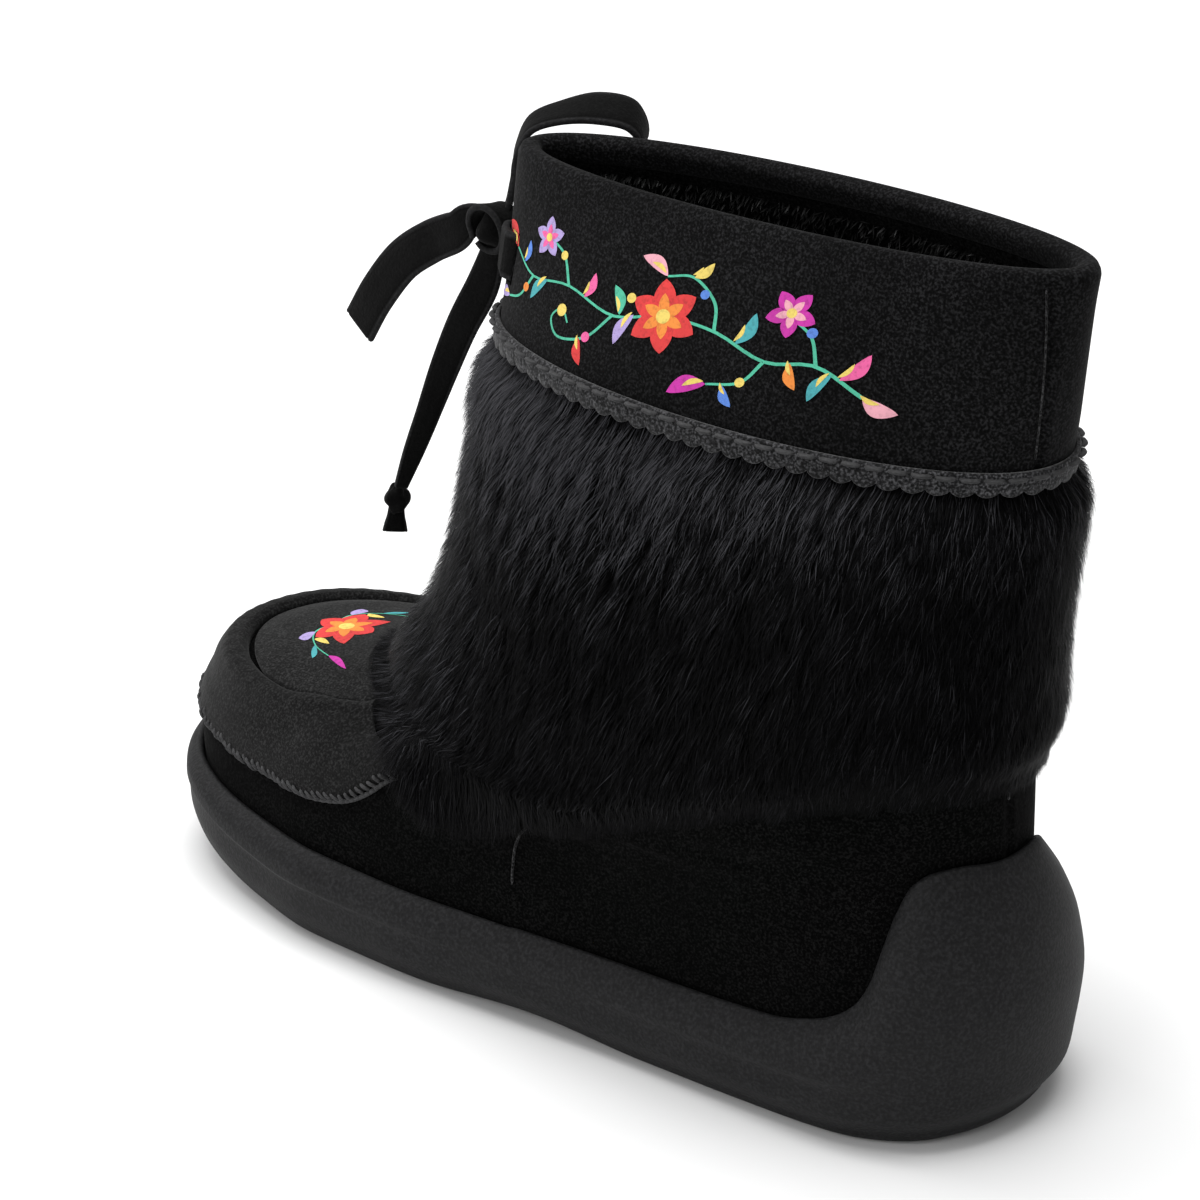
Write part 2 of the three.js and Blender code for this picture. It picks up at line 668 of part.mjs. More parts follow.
// The turn from the front at which the cuff is a distance out from the middle
function turnOut(distance) {
  let low = 0;
  let high = 0.25;
  for (let i = 0; i < 30; i += 1) {
    const middle = (low + high) / 2;
    if (skin(laceLevel, 0.5 - middle, cuffOut).y < distance) low = middle;
    else high = middle;
  }
  return low;
}
const slitInner = turnOut(SLIT_SPREAD - SLIT_WIDTH / 2);
const slitOuter = turnOut(SLIT_SPREAD + SLIT_WIDTH / 2);
const laceInner = turnOut(SLIT_SPREAD - SLIT_WIDTH / 2 + SLIT_CLEARANCE);
const laceOuter = turnOut(SLIT_SPREAD + SLIT_WIDTH / 2 - SLIT_CLEARANCE);

function cuff() {
  const ring = layer({
    rows: sections.map((_, i) => i).slice(TRIM),
    columns: wholeTurns,
    ring: true,
    place: (turn, level) => ({ turn, level }),
    inner: () => FIT_GAP,
    outer: (_, level) => (level === RIM ? cuffOut * 0.8 : cuffOut),
  });
  const reach = laceHalfLevels * (1 + (2 * SLIT_CLEARANCE) / LACE_WIDTH);
  const slit = (side) =>
    layer({
      rows: [-1, 1],
      columns: [slitInner, slitOuter],
      ring: false,
      place: (away, row) => ({ turn: 0.5 - side * away, level: laceLevel + row * reach }),
      inner: () => 0,
      outer: () => 2 * cuffOut,
    });
  return toGeometry([-1, 1].reduce((solid, side) => solid.subtract(toSolid(slit(side))), toSolid(ring)));
}

// Trim: a pinked strip over the cuff's lower edge, scalloped along its bottom
const trimIn = cuffOut + FIT_GAP;

function trim() {
  const line = steps(4 * TURNS).map((turn) => skin(TRIM, turn, trimIn));
  const around = line.slice(1).reduce((sum, point, i) => sum + point.distanceTo(line[i]), 0);
  const scallops = Math.round(around / SCALLOP_PITCH);
  return layer({
    rows: [0, 1],
    columns: steps(2 * scallops).slice(0, -1),
    ring: true,
    place: (turn, row) => {
      const notch = Math.round(turn * 2 * scallops) % 2 ? SCALLOP_DEPTH : 0;
      return { turn, level: levelOver(TRIM, turn, row ? TRIM_LAP : notch - TRIM_DROP) };
    },
    inner: () => trimIn,
    outer: () => trimIn + TRIM_THICKNESS,
  });
}

// The lace's bar: it comes out of one slit, crosses the cuff's front and goes into the other
const barIn = cuffOut + FIT_GAP;
const barOut = barIn + LACE_THICKNESS;

function laceBar() {
  const half = [0, 0.35, 0.7, 1].map((share) => share * laceInner);
  const away = [...half, laceInner + SMALL / 2, laceOuter];
  const columns = [...away.slice(1).map((x) => -x).reverse(), ...away];
  return layer({
    rows: [-1, 1],
    columns,
    ring: false,
    place: (side, row) => ({ turn: 0.5 - side, level: laceLevel + row * laceHalfLevels }),
    inner: (side) => (Math.abs(side) > laceInner ? 2 * FIT_GAP : barIn),
    outer: () => barOut,
  });
}

// A flat strap along a route: each stop has its centre and the direction of its width, from the knot
function strap(stops) {
  const curve = (name) =>
    new THREE.CatmullRomCurve3(stops.map((stop) => new THREE.Vector3(...stop[name])), false, 'centripetal');
  const along = curve('at');
  const wide = curve('wide');
  const rings = steps((stops.length - 1) * 2).map((share) => {
    const centre = along.getPoint(share);
    const forward = along.getTangent(share);
    const across = wide.getPoint(share);
    const size = across.length();
    across.addScaledVector(forward, -across.dot(forward)).setLength((size * LACE_WIDTH) / 2);
    const thick = forward.cross(across).setLength(LACE_THICKNESS / 2);
    return [
      [1, 1],
      [-1, 1],
      [-1, -1],
      [1, -1],
    ].map(([a, b]) => centre.clone().addScaledVector(across, a).addScaledVector(thick, b));
  });
  return block(rings);
}

// Where the knot sits: in front of the bar
const knotCentre = skin(laceLevel, 0.5, barOut + FIT_GAP + KNOT_SIZE / 2);

function knot() {
  const shape = new THREE.SphereGeometry(KNOT_SIZE / 2, 14, 8);
  return shape.scale(1, 1.25, 1.1).translate(knotCentre.x, knotCentre.y, knotCentre.z);
}

// Routes from the knot's centre, with the direction of the strap's width and, by its length, how wide it is
const SHORT_END = [
  { at: [7.8, 2.5, 1], wide: [0.1, 0, -0.7] },
  { at: [13, 3, -3.5], wide: [-0.3, 0, -0.85] },
  { at: [23, 2, -9], wide: [-0.45, 0, -0.85] },
  { at: [34, 1.5, -17], wide: [-0.55, 0, -0.8] },
  { at: [44.5, 0.5, -29], wide: [-0.62, 0, -0.76] },
  { at: [54, -2, -41.5], wide: [-0.64, 0, -0.76] },
];
const LONG_END = [
  { at: [3.2, -1.5, -6], wide: [0.6, 0, 0.1] },
  { at: [7.5, -1.5, -18], wide: [0.8, 0.13, 0.22] },
  { at: [14, 0, -31], wide: [0.78, 0.22, 0.3] },
  { at: [20.5, 0, -44.5], wide: [0.7, 0.4, 0.3] },
  { at: [27, 0, -59.5], wide: [0.56, 0.56, 0.26] },
  { at: [33, 0, -73], wide: [0.4, 0.62, 0.2] },
  { at: [38, 0, -84.5], wide: [0.26, 0.46, 0.1] },
];
const LOOP = [
  { at: [-1, -2.5, 6.6], wide: [0.5, -0.6, 0] },
  { at: [0.5, -6, 12], wide: [0.6, -0.75, 0] },
  { at: [0.6, -8, 19], wide: [0.6, -0.75, 0] },
  { at: [-1.5, -11, 25.5], wide: [0.6, -0.75, 0.1] },
  { at: [-7, -16, 28.5], wide: [0.55, -0.75, 0.2] },
  { at: [-15, -22, 30], wide: [0.5, -0.75, 0.4] },
  { at: [-22.5, -27, 28], wide: [0.45, -0.8, 0.35] },
  { at: [-23, -30, 20], wide: [0.5, -0.85, 0] },
  { at: [-17, -25, 12], wide: [0.6, -0.8, 0] },
  { at: [-8, -18, 5], wide: [0.6, -0.75, 0] },
  { at: [-0.5, -8, 1.8], wide: [0.6, -0.1, 0.35] },
];
const HIDDEN_LOOP = [
  { at: [1.2, -6.9, -2.4], wide: [0.6, -0.1, 0.35] },
  { at: [3, -18, -8], wide: [0.7, -0.7, 0.1] },
  { at: [0, -27, -13], wide: [0.7, -0.7, 0] },
  { at: [-7, -34, -18], wide: [0.65, -0.75, 0] },
  { at: [-12, -39, -21], wide: [0.6, -0.8, 0] },
  { at: [-12.5, -40, -28], wide: [0.6, -0.8, 0] },
  { at: [-6, -35, -29], wide: [0.65, -0.75, 0] },
  { at: [1, -28, -25], wide: [0.7, -0.7, 0] },
  { at: [5, -18, -19], wide: [0.7, -0.6, 0.1] },
  { at: [3.5, -7, -10.5], wide: [0.7, -0.3, 0.2] },
];
const fromKnot = (stops) =>
  stops.map(({ at, wide }) => ({ at: knotCentre.clone().add(new THREE.Vector3(...at)), wide }));

// The long end's own knot and its short frayed tail
function tipKnot() {
  const end = LONG_END.at(-1).at;
  const centre = knotCentre.clone().add(new THREE.Vector3(end[0] + 1.6, end[1], end[2] - 4.1));
  const lump = new THREE.SphereGeometry(TIP_KNOT_SIZE / 2, 10, 6).scale(0.85, 0.9, 1.1);
  const tail = new THREE.CylinderGeometry(TIP_KNOT_SIZE * 0.32, TIP_KNOT_SIZE * 0.42, TIP_TAIL, 8);
  tail.rotateX(Math.PI / 2).translate(0.6, 0, -TIP_TAIL / 2 - 1);
  const joined = toSolid(lump).add(toSolid(tail.scale(1, 0.7, 1)));
  return toGeometry(joined).translate(centre.x, centre.y, centre.z);
}

const LOOSE = [
  'lace_knot',
  'lace_short_end',
  'lace_long_end',
  'lace_tip_knot',
  'lace_loop_upper',
  'lace_loop_lower',
];

const boot = new THREE.Group();
boot.name = 'mukluk_boot';

function piece(name, geometry, color, roughness) {
  const mesh = new THREE.Mesh(geometry, new THREE.MeshStandardMaterial({ color, roughness, metalness: 0 }));
  mesh.name = name;
  boot.add(mesh);
}

piece('sole', sole(), 0x2b2b2d, 0.75);
piece('insole', insole(), 0x1a1a1a, 0.95);
piece('upper', upper(), 0x141414, 0.95);
piece('vamp', vamp(), 0x1c1c1c, 0.95);
piece('toe_plug', toePlug(), 0x1f1f1f, 0.95);
piece('fur_band', furBand(), 0x0b0b0c, 0.6);
piece('cuff', cuff(), 0x1d1d1e, 0.95);
piece('trim', trim(), 0x3c3c3e, 0.95);
piece('lace_bar', laceBar(), 0x121212, 0.9);
piece('lace_knot', knot(), 0x101010, 0.9);
piece('lace_short_end', strap(fromKnot(SHORT_END)), 0x121212, 0.9);
piece('lace_long_end', strap(fromKnot(LONG_END)), 0x121212, 0.9);
piece('lace_tip_knot', tipKnot(), 0x101010, 0.9);
piece('lace_loop_upper', strap(fromKnot(LOOP)), 0x121212, 0.9);
piece('lace_loop_lower', strap(fromKnot(HIDDEN_LOOP)), 0x121212, 0.9);

// The origin lies under the middle of everything but the loose lace
const standing = new THREE.Box3();
boot.children.filter((mesh) => !LOOSE.includes(mesh.name)).forEach((mesh) => standing.expandByObject(mesh));
const middle = standing.getCenter(new THREE.Vector3());
boot.position.set(-middle.x, -middle.y, -standing.min.z);

export default boot;
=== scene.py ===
"""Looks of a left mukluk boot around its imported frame.

Sole, suede upper, vamp, toe plug, fur band, cuff, scalloped trim, lace and print.
"""

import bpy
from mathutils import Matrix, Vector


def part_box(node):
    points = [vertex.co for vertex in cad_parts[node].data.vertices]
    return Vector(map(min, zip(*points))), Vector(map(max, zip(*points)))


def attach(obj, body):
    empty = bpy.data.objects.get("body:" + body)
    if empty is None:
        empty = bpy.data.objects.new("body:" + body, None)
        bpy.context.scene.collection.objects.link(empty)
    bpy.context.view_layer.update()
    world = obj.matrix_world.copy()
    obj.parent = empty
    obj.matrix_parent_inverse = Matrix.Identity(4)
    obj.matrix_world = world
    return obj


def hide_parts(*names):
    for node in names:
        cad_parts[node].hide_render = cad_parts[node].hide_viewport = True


bl_info = {
    "name": "Mukluk Boot",
    "version": (1, 0, 0),
    "blender": (4, 5, 0),
    "location": "View3D > Sidebar > Mukluk",
    "description": "Builds the looks of a fur-banded mukluk boot",
    "category": "Object",
}

import math

import bpy
import numpy as np
from mathutils import Vector

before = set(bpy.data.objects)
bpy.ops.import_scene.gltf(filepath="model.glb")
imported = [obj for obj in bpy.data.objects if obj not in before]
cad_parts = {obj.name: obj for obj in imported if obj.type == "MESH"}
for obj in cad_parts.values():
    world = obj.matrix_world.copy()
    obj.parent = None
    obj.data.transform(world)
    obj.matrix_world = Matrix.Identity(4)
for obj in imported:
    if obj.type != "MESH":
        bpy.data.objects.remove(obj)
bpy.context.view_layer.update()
MM = 0.001

# Driving sizes in millimetres, as in the frame
SOLE_LENGTH = 285.0
HALF_LENGTH = SOLE_LENGTH / 2
HALF_BALL = 108.8 / 2
INSTEP_HEIGHT = 70.0
COLLAR_HEIGHT = 232.0
HALF_ANKLE = 45.0
COLLAR_LENGTH = 169.0
HALF_COLLAR = 38.4 / 2
UPPER_WALL = 2.0
FIT_GAP = 0.35
SOLE_BULGE = 2.4
HEEL_FLARE = 0.9
TREAD_INSET = 5.0
CUP_EDGE_WALL = 2.4
TOE_SPRING = 11.7
HEEL_SPRING = 2.1
ARCH_RISE = 2.2
HEEL_REST, ARCH_FROM, ARCH_TO, TOE_REST = 0.09, 0.32, 0.58, 0.69
LUG_DEPTH = 3.0
LUG_GROOVE = 5.0
LUG_PITCH = 15.0
LUG_MARGIN = 10.0
SEAM_STEP = 0.7
SEAM_TURN = 0.24
VAMP_THICKNESS = 1.8
VAMP_ROLL = 5.0
PLUG_THICKNESS = 1.6
PLUG_CROWN = 1.2
CUFF_THICKNESS = 2.9
CUFF_OUT = FIT_GAP + CUFF_THICKNESS
TRIM_IN = CUFF_OUT + FIT_GAP
TRIM_THICKNESS = 1.2
LACE_WIDTH = 12.0
LACE_THICKNESS = 1.8
LACE_HEIGHT = 200.5
KNOT_SIZE = 11.0

# The sole's outline: share of the length from the heel, outer and inner shares of half the ball width
FOOTPRINT = (
    (0, 0, 0), (0.015, 0.344, 0.344), (0.05, 0.584, 0.584), (0.12, 0.752, 0.752), (0.22, 0.81, 0.79),
    (0.35, 0.854, 0.745), (0.5, 0.93, 0.76), (0.62, 0.985, 0.84), (0.72, 0.99, 0.93), (0.8, 0.93, 0.97),
    (0.87, 0.84, 0.945), (0.93, 0.69, 0.83), (0.97, 0.48, 0.64), (0.99, 0.28, 0.4), (1, 0, 0),
)
# Foot sections: back, front, heel, toe, sag, half, widest, blunt, print, spring
FOOT_ROWS = (
    (-0.947, 0.938, 0.214, 0.171, 0, 0.9, 0.46, 2.3, 1, 1),
    (-0.965, 0.964, 0.407, 0.314, 0, 0.925, 0.46, 2.3, 1, 1),
    (-0.964, 0.973, 0.586, 0.493, 0, 0.915, 0.46, 2.3, 0.95, 0.75),
    (-0.96, 0.96, 0.714, 0.666, 0, 0.9, 0.46, 2.3, 0.8, 0.4),
    (-0.956, 0.92, 0.82, 0.8, 0.01, 0.875, 0.46, 2.3, 0.5, 0.15),
    (-0.951, 0.835, 0.92, 0.857, 0.02, 0.86, 0.46, 2.25, 0.2, 0),
    (-0.946, 0.737, 1.04, 0.879, 0.05, 0.855, 0.45, 2.2, 0, 0),
    (-0.942, 0.632, 1.17, 0.9, 0.08, 0.85, 0.44, 2.2, 0, 0),
    (-0.939, 0.533, 1.3, 0.936, 0.11, 0.845, 0.44, 2.2, 0, 0),
    (-0.938, 0.442, 1.43, 1.0, 0.12, 0.838, 0.44, 2.15, 0, 0),
)
# Leg sections: back, forward, heel, toe, sag, half, widest, blunt
LEG_ROWS = (
    (-0.939, 0.759, 0.24, 0.068, 0.1, 1.0, 0.45, 2.15),
    (-0.941, 0.578, 0.3, 0.154, 0.08, 0.961, 0.46, 2.1),
    (-0.946, 0.398, 0.39, 0.284, 0.05, 0.884, 0.47, 2.1),
    (-0.954, 0.253, 0.5, 0.432, 0.025, 0.787, 0.48, 2.1),
    (-0.964, 0.145, 0.61, 0.574, 0.01, 0.69, 0.49, 2.1),
    (-0.975, 0.072, 0.694, 0.694, 0, 0.624, 0.5, 2.06),
    (-1.0, 0.036, 0.845, 0.83, 0, 0.322, 0.5, 2.06),
    (-1.0265, 0, 1, 0.97, 0, 0, 0.5, 2.06),
)
HEM = len(FOOT_ROWS) - 1
TRIM = HEM + 6
RIM = HEM + len(LEG_ROWS)

# The sole's top edge: share of the length, height over the ground line as a share of the instep height
CUP_EDGE = (
    (0, 1.055), (0.02, 1.08), (0.038, 1.07), (0.055, 1.02), (0.064, 0.915), (0.07, 0.765), (0.077, 0.64),
    (0.09, 0.545), (0.108, 0.49), (0.13, 0.455), (0.17, 0.42), (0.3, 0.4), (0.6, 0.385), (0.75, 0.39),
    (0.9, 0.365), (1, 0.33),
)
# The sole's side: rise over the ground, outset as a share of the tread's inset or of the bulge
SOLE_LOW = ((0, -1.0), (1.3, -0.5), (4.5, -0.1))
SOLE_BULGES = ((10, 0.75), (17, 1.0))
INNER_RIM_DROP = 8.0
CUP_RISES = (0.3, 0.55, 0.8, 0.93, 1)
LUG_FIELDS = ((0.1, 0.32), (0.6, 0.88))
# The vamp's edges by the turn away from the toe: low, its level, high, its level
VAMP_EDGES = (
    (0, 2.45, 0, 4.52), (0.04, 2.44, 0.035, 4.52), (0.08, 2.43, 0.07, 4.54), (0.115, 2.42, 0.1, 4.64),
    (0.145, 2.5, 0.123, 5.0), (0.17, 2.58, 0.1286, 5.6), (0.188, 2.85, 0.1265, 6.3), (0.199, 3.5, 0.118, 7.2),
    (0.204, 4.7, 0.1065, 7.85),
)
VAMP_PROFILE = ((0, 0), (0.35, 0), (0.62, 0.4), (0.82, 0.9), (0.94, 0.8), (1, 0.3))
# The fur's hem: turn from the back, level
FUR_HEM = (
    (0, 9.0), (0.1, 9.2), (0.15, 9.1), (0.18, 8.9), (0.2, 8.6), (0.225, 8.0), (0.25, 7.1), (0.27, 6.5),
    (0.29, 6.3), (0.31, 6.6), (0.34, 7.7), (0.385, 8.7), (0.42, 9.0), (0.5, 9.1),
)
# Lace routes from the knot's centre: place, then the direction of the width
SHORT_END = (
    ((7.8, 2.5, 1), (0.1, 0, -0.7)), ((13, 3, -3.5), (-0.3, 0, -0.85)), ((23, 2, -9), (-0.45, 0, -0.85)),
    ((34, 1.5, -17), (-0.55, 0, -0.8)), ((44.5, 0.5, -29), (-0.62, 0, -0.76)),
    ((54, -2, -41.5), (-0.64, 0, -0.76)),
)
LONG_END = (
    ((3.2, -1.5, -6), (0.6, 0, 0.1)), ((7.5, -1.5, -18), (0.8, 0.13, 0.22)),
    ((14, 0, -31), (0.78, 0.22, 0.3)),
    ((20.5, 0, -44.5), (0.7, 0.4, 0.3)), ((27, 0, -59.5), (0.56, 0.56, 0.26)),
    ((33, 0, -73), (0.4, 0.62, 0.2)),
    ((38, 0, -84.5), (0.26, 0.46, 0.1)),
)
UPPER_LOOP = (
    ((-1, -2.5, 6.6), (0.5, -0.6, 0)), ((0.5, -6, 12), (0.6, -0.75, 0)), ((0.6, -8, 19), (0.6, -0.75, 0)),
    ((-1.5, -11, 25.5), (0.6, -0.75, 0.1)), ((-7, -16, 28.5), (0.55, -0.75, 0.2)),
    ((-15, -22, 30), (0.5, -0.75, 0.4)),
    ((-22.5, -27, 28), (0.45, -0.8, 0.35)), ((-23, -30, 20), (0.5, -0.85, 0)),
    ((-17, -25, 12), (0.6, -0.8, 0)),
    ((-8, -18, 5), (0.6, -0.75, 0)), ((-0.5, -8, 1.8), (0.6, -0.1, 0.35)),
)
LOWER_LOOP = (
    ((1.2, -6.9, -2.4), (0.6, -0.1, 0.35)), ((3, -18, -8), (0.7, -0.7, 0.1)), ((0, -27, -13), (0.7, -0.7, 0)),
    ((-7, -34, -18), (0.65, -0.75, 0)), ((-12, -39, -21), (0.6, -0.8, 0)),
    ((-12.5, -40, -28), (0.6, -0.8, 0)),
    ((-6, -35, -29), (0.65, -0.75, 0)), ((1, -28, -25), (0.7, -0.7, 0)), ((5, -18, -19), (0.7, -0.6, 0.1)),
    ((3.5, -7, -10.5), (0.7, -0.3, 0.2)),
)


# Surface of the leather, over arrays of levels and turns
def smooth(table, column=1):
    """The smooth line through one column of a table, which never overshoots it."""
    xs = np.array([row[0] for row in table], float)
    ys = np.array([row[column] for row in table], float)
    rise = np.diff(ys) / np.diff(xs)
    slope = np.empty(len(xs))
    slope[0], slope[-1] = rise[0], rise[-1]
    product = rise[:-1] * rise[1:]
    total = np.where(product > 0, rise[:-1] + rise[1:], 1)
    slope[1:-1] = np.where(product > 0, 2 * product / total, 0)

    def line(at):
        at = np.clip(np.asarray(at, float), xs[0], xs[-1])
        i = np.clip(np.searchsorted(xs, at) - 1, 0, len(xs) - 2)
        width = xs[i + 1] - xs[i]
        t = (at - xs[i]) / width
        r = 1 - t
        value = ys[i] * (1 + 2 * t) * r * r + slope[i] * width * t * r * r
        return value + ys[i + 1] * (3 - 2 * t) * t * t - slope[i + 1] * width * t * t * r

    return line


def mix(a, b, share):
    return a + (b - a) * share


def ease(x):
    x = np.clip(x, 0, 1)
    return x * x * (3 - 2 * x)


def along_of(turn):
    return (1 - np.cos(2 * np.pi * np.asarray(turn, float))) / 2


def turn_of(along):
    return np.arccos(1 - 2 * np.asarray(along, float)) / (2 * np.pi)


def is_outer(turn):
    return (turn - np.floor(turn)) < 0.5


print_rows = [(math.acos(1 - 2 * a), outer, inner) for a, outer, inner in FOOTPRINT]
outer_print, inner_print = smooth(print_rows, 1), smooth(print_rows, 2)


def print_half(turn):
    angle = np.arccos(np.clip(1 - 2 * along_of(turn), -1, 1))
    return HALF_BALL * np.where(is_outer(turn), outer_print(angle), inner_print(angle))


def spring(x):
    """Rise of the whole underside towards the toe and the heel."""
    along = (x + HALF_LENGTH) / SOLE_LENGTH
    toe = TOE_SPRING * np.maximum(0, (along - TOE_REST) / (1 - TOE_REST)) ** 2
    return toe + HEEL_SPRING * np.maximum(0, (HEEL_REST - along) / HEEL_REST) ** 2


def arch(x):
    share = np.clip(((x + HALF_LENGTH) / SOLE_LENGTH - ARCH_FROM) / (ARCH_TO - ARCH_FROM), 0, 1)
    return ARCH_RISE * np.sin(np.pi * share) ** 2


leg_rise = COLLAR_HEIGHT - INSTEP_HEIGHT
collar_front = LEG_ROWS[-1][0] * HALF_LENGTH + COLLAR_LENGTH
instep_front = FOOT_ROWS[-1][1] * HALF_LENGTH
section_rows = [
    (back * HALF_LENGTH, front * HALF_LENGTH, heel * INSTEP_HEIGHT, toe * INSTEP_HEIGHT, sag * INSTEP_HEIGHT,
     half * HALF_BALL, widest, blunt, in_print, spring)
    for back, front, heel, toe, sag, half, widest, blunt, in_print, spring in FOOT_ROWS
] + [
    (back * HALF_LENGTH, mix(collar_front, instep_front, forward), INSTEP_HEIGHT + heel * leg_rise,
     INSTEP_HEIGHT + toe * leg_rise, sag * INSTEP_HEIGHT, mix(HALF_COLLAR, HALF_ANKLE, half), widest,
     blunt, 0, 0)
    for back, forward, heel, toe, sag, half, widest, blunt in LEG_ROWS
]
section_tables = [(i, *row) for i, row in enumerate(section_rows)]
(back_of, front_of, heel_of, toe_of, sag_of, half_of, widest_of, blunt_of, in_print_of, spring_of) = [
    smooth(section_tables, column) for column in range(1, 11)
]


def bare(level, turn):
    """A point of the leather, before its steps and layers."""
    level, turn = np.broadcast_arrays(np.asarray(level, float), np.asarray(turn, float))
    along = along_of(turn)
    x = mix(back_of(level), front_of(level), along)
    z = mix(heel_of(level), toe_of(level), along) + spring_of(level) * spring(x)
    z = z - sag_of(level) * np.sin(np.pi * along**1.5)
    widest, blunt = widest_of(level), blunt_of(level)
    behind = (1 - np.clip((widest - along) / widest, 0, 1) ** blunt) ** (1 / blunt)
    ahead = np.sqrt(np.clip(1 - ((along - widest) / (1 - widest)) ** 2, 0, None))
    oval = np.where(along < widest, behind, ahead)
    half, share = half_of(level), in_print_of(level)
    y = share * half / HALF_BALL * print_half(turn) + (1 - share) * half * oval
    return np.stack([x, np.where(is_outer(turn), y, -y), z], -1)


def unit(v):
    return v / np.maximum(np.linalg.norm(v, axis=-1, keepdims=True), 1e-12)


def outward(level, turn):
    up = bare(np.minimum(level + 0.02, RIM), turn) - bare(np.maximum(level - 0.02, 0), turn)
    return unit(np.cross(up, bare(level, turn + 0.004) - bare(level, turn - 0.004)))


def skin(level, turn, out=0.0):
    """The leather's outer surface, moved out by a distance."""
    level, turn = np.broadcast_arrays(np.asarray(level, float), np.asarray(turn, float))
    from_front = np.abs(turn - np.floor(turn) - 0.5)
    step = SEAM_STEP * ease((0.5 - SEAM_TURN - from_front) / 0.003 + 0.5) * np.clip(HEM - level, 0, 1)
    return bare(level, turn) + outward(level, turn) * (np.asarray(out) + step)[..., None]


def level_at(turn, height):
    turn, height = np.broadcast_arrays(np.asarray(turn, float), np.asarray(height, float))
    low, high = np.zeros(turn.shape), np.full(turn.shape, float(RIM))
    for _ in range(22):
        middle = (low + high) / 2
        below = bare(middle, turn)[..., 2] < height
        low, high = np.where(below, middle, low), np.where(below, high, middle)
    return (low + high) / 2


def level_over(level, turn, rise):
    """The level a distance above another, along the leather."""
    level, turn = np.broadcast_arrays(np.asarray(level, float), np.asarray(turn, float))
    for _ in range(6):
        lo, hi = np.clip(level - 0.02, 0, RIM - 0.04), np.clip(level + 0.02, 0.04, RIM)
        per_level = np.linalg.norm(bare(hi, turn) - bare(lo, turn), axis=-1) / 0.04
        level = level + rise / 6 / np.maximum(per_level, 0.5)
    return level


def per_turn(level, turn):
    return np.linalg.norm(bare(level, turn + 0.002) - bare(level, turn - 0.002), axis=-1) / 0.004


def run_along(points):
    """The distance along a line at each of its points."""
    return np.concatenate([[0], np.cumsum(np.linalg.norm(np.diff(points, axis=0), axis=-1))])


def front_level(height):
    """The level of a height at the very front."""
    return float(level_at(np.array([0.5]), height)[0])

fur_hem_line = smooth(FUR_HEM)
cup_edge_line = smooth([(a, rise * INSTEP_HEIGHT) for a, rise in CUP_EDGE])
vamp_roll_line = smooth(VAMP_PROFILE)
vamp_shares = [(i / (len(VAMP_EDGES) - 1), *row) for i, row in enumerate(VAMP_EDGES)]
vamp_low, vamp_low_level, vamp_high, vamp_high_level = [smooth(vamp_shares, c) for c in range(1, 5)]


def fur_hem(turn):
    turn = turn - np.floor(turn)
    return fur_hem_line(np.minimum(turn, 1 - turn))


# Where the frame stands: its cuff is the same ring as the one here
def frame_shift():
    low, high = (np.array(side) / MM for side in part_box("cuff"))
    ends = np.array([0.0, 0.5])
    rings = ((TRIM, CUFF_OUT), (TRIM + 1, CUFF_OUT), (RIM, CUFF_OUT * 0.8))
    rim = np.concatenate([skin(level, ends, out) for level, out in rings])
    own = np.array([(rim[:, 0].min() + rim[:, 0].max()) / 2, 0.0, 0.0])
    return np.array([(low[0] + high[0]) / 2, (low[1] + high[1]) / 2, 0.0]) - own


SHIFT = frame_shift()


# Meshes
def new_mesh(name, verts, faces, material, uv=None, uv_faces=None, groups=None):
    """An object from vertices in millimetres and a list of face arrays, with its map coordinates."""
    mesh = bpy.data.meshes.new(name)
    faces = faces if isinstance(faces, list) else [faces]
    sizes = np.concatenate([np.full(len(f), f.shape[1]) for f in faces])
    loops = np.concatenate([f.ravel() for f in faces]).astype(np.int32)
    mesh.vertices.add(len(verts))
    mesh.vertices.foreach_set("co", ((np.asarray(verts) + SHIFT) * MM).astype(np.float32).ravel())
    mesh.loops.add(len(loops))
    mesh.loops.foreach_set("vertex_index", loops)
    mesh.polygons.add(len(sizes))
    starts = np.concatenate([[0], np.cumsum(sizes)[:-1]]).astype(np.int32)
    mesh.polygons.foreach_set("loop_start", starts)
    mesh.polygons.foreach_set("use_smooth", np.ones(len(sizes), bool))
    if uv is not None:
        corners = np.concatenate([f.ravel() for f in (uv_faces if uv_faces is not None else faces)])
        layer = mesh.uv_layers.new(name="Map")
        layer.data.foreach_set("uv", np.asarray(uv, float)[corners].astype(np.float32).ravel())
    for one in material if isinstance(material, list) else [material]:
        mesh.materials.append(one)
    if groups is not None:
        mesh.polygons.foreach_set("material_index", np.asarray(groups, np.int32))
    mesh.update(calc_edges=True)
    obj = bpy.data.objects.new(name, mesh)
    bpy.context.scene.collection.objects.link(obj)
    return obj


def grid_faces(rows, cols, ring=False, flip=False, start=0):
    """Faces of a grid, and the same faces over a map grid that has one more column."""
    i, j = np.meshgrid(np.arange(rows - 1), np.arange(cols if ring else cols - 1), indexing="ij")
    i, j = i.ravel(), j.ravel()
    k = (j + 1) % cols
    faces = start + np.stack([i * cols + j, (i + 1) * cols + j, (i + 1) * cols + k, i * cols + k], -1)
    wide = cols + 1
    maps = np.stack([i * wide + j, (i + 1) * wide + j, (i + 1) * wide + j + 1, i * wide + j + 1], -1)
    return (faces[:, ::-1], maps[:, ::-1]) if flip else (faces, maps)
def map_grid(rows, across):
    """Map coordinates of a grid: even up its rows, at the given places across."""
    return np.stack(np.meshgrid(np.linspace(0, 1, rows), across, indexing="ij")[::-1], -1).reshape(-1, 2)


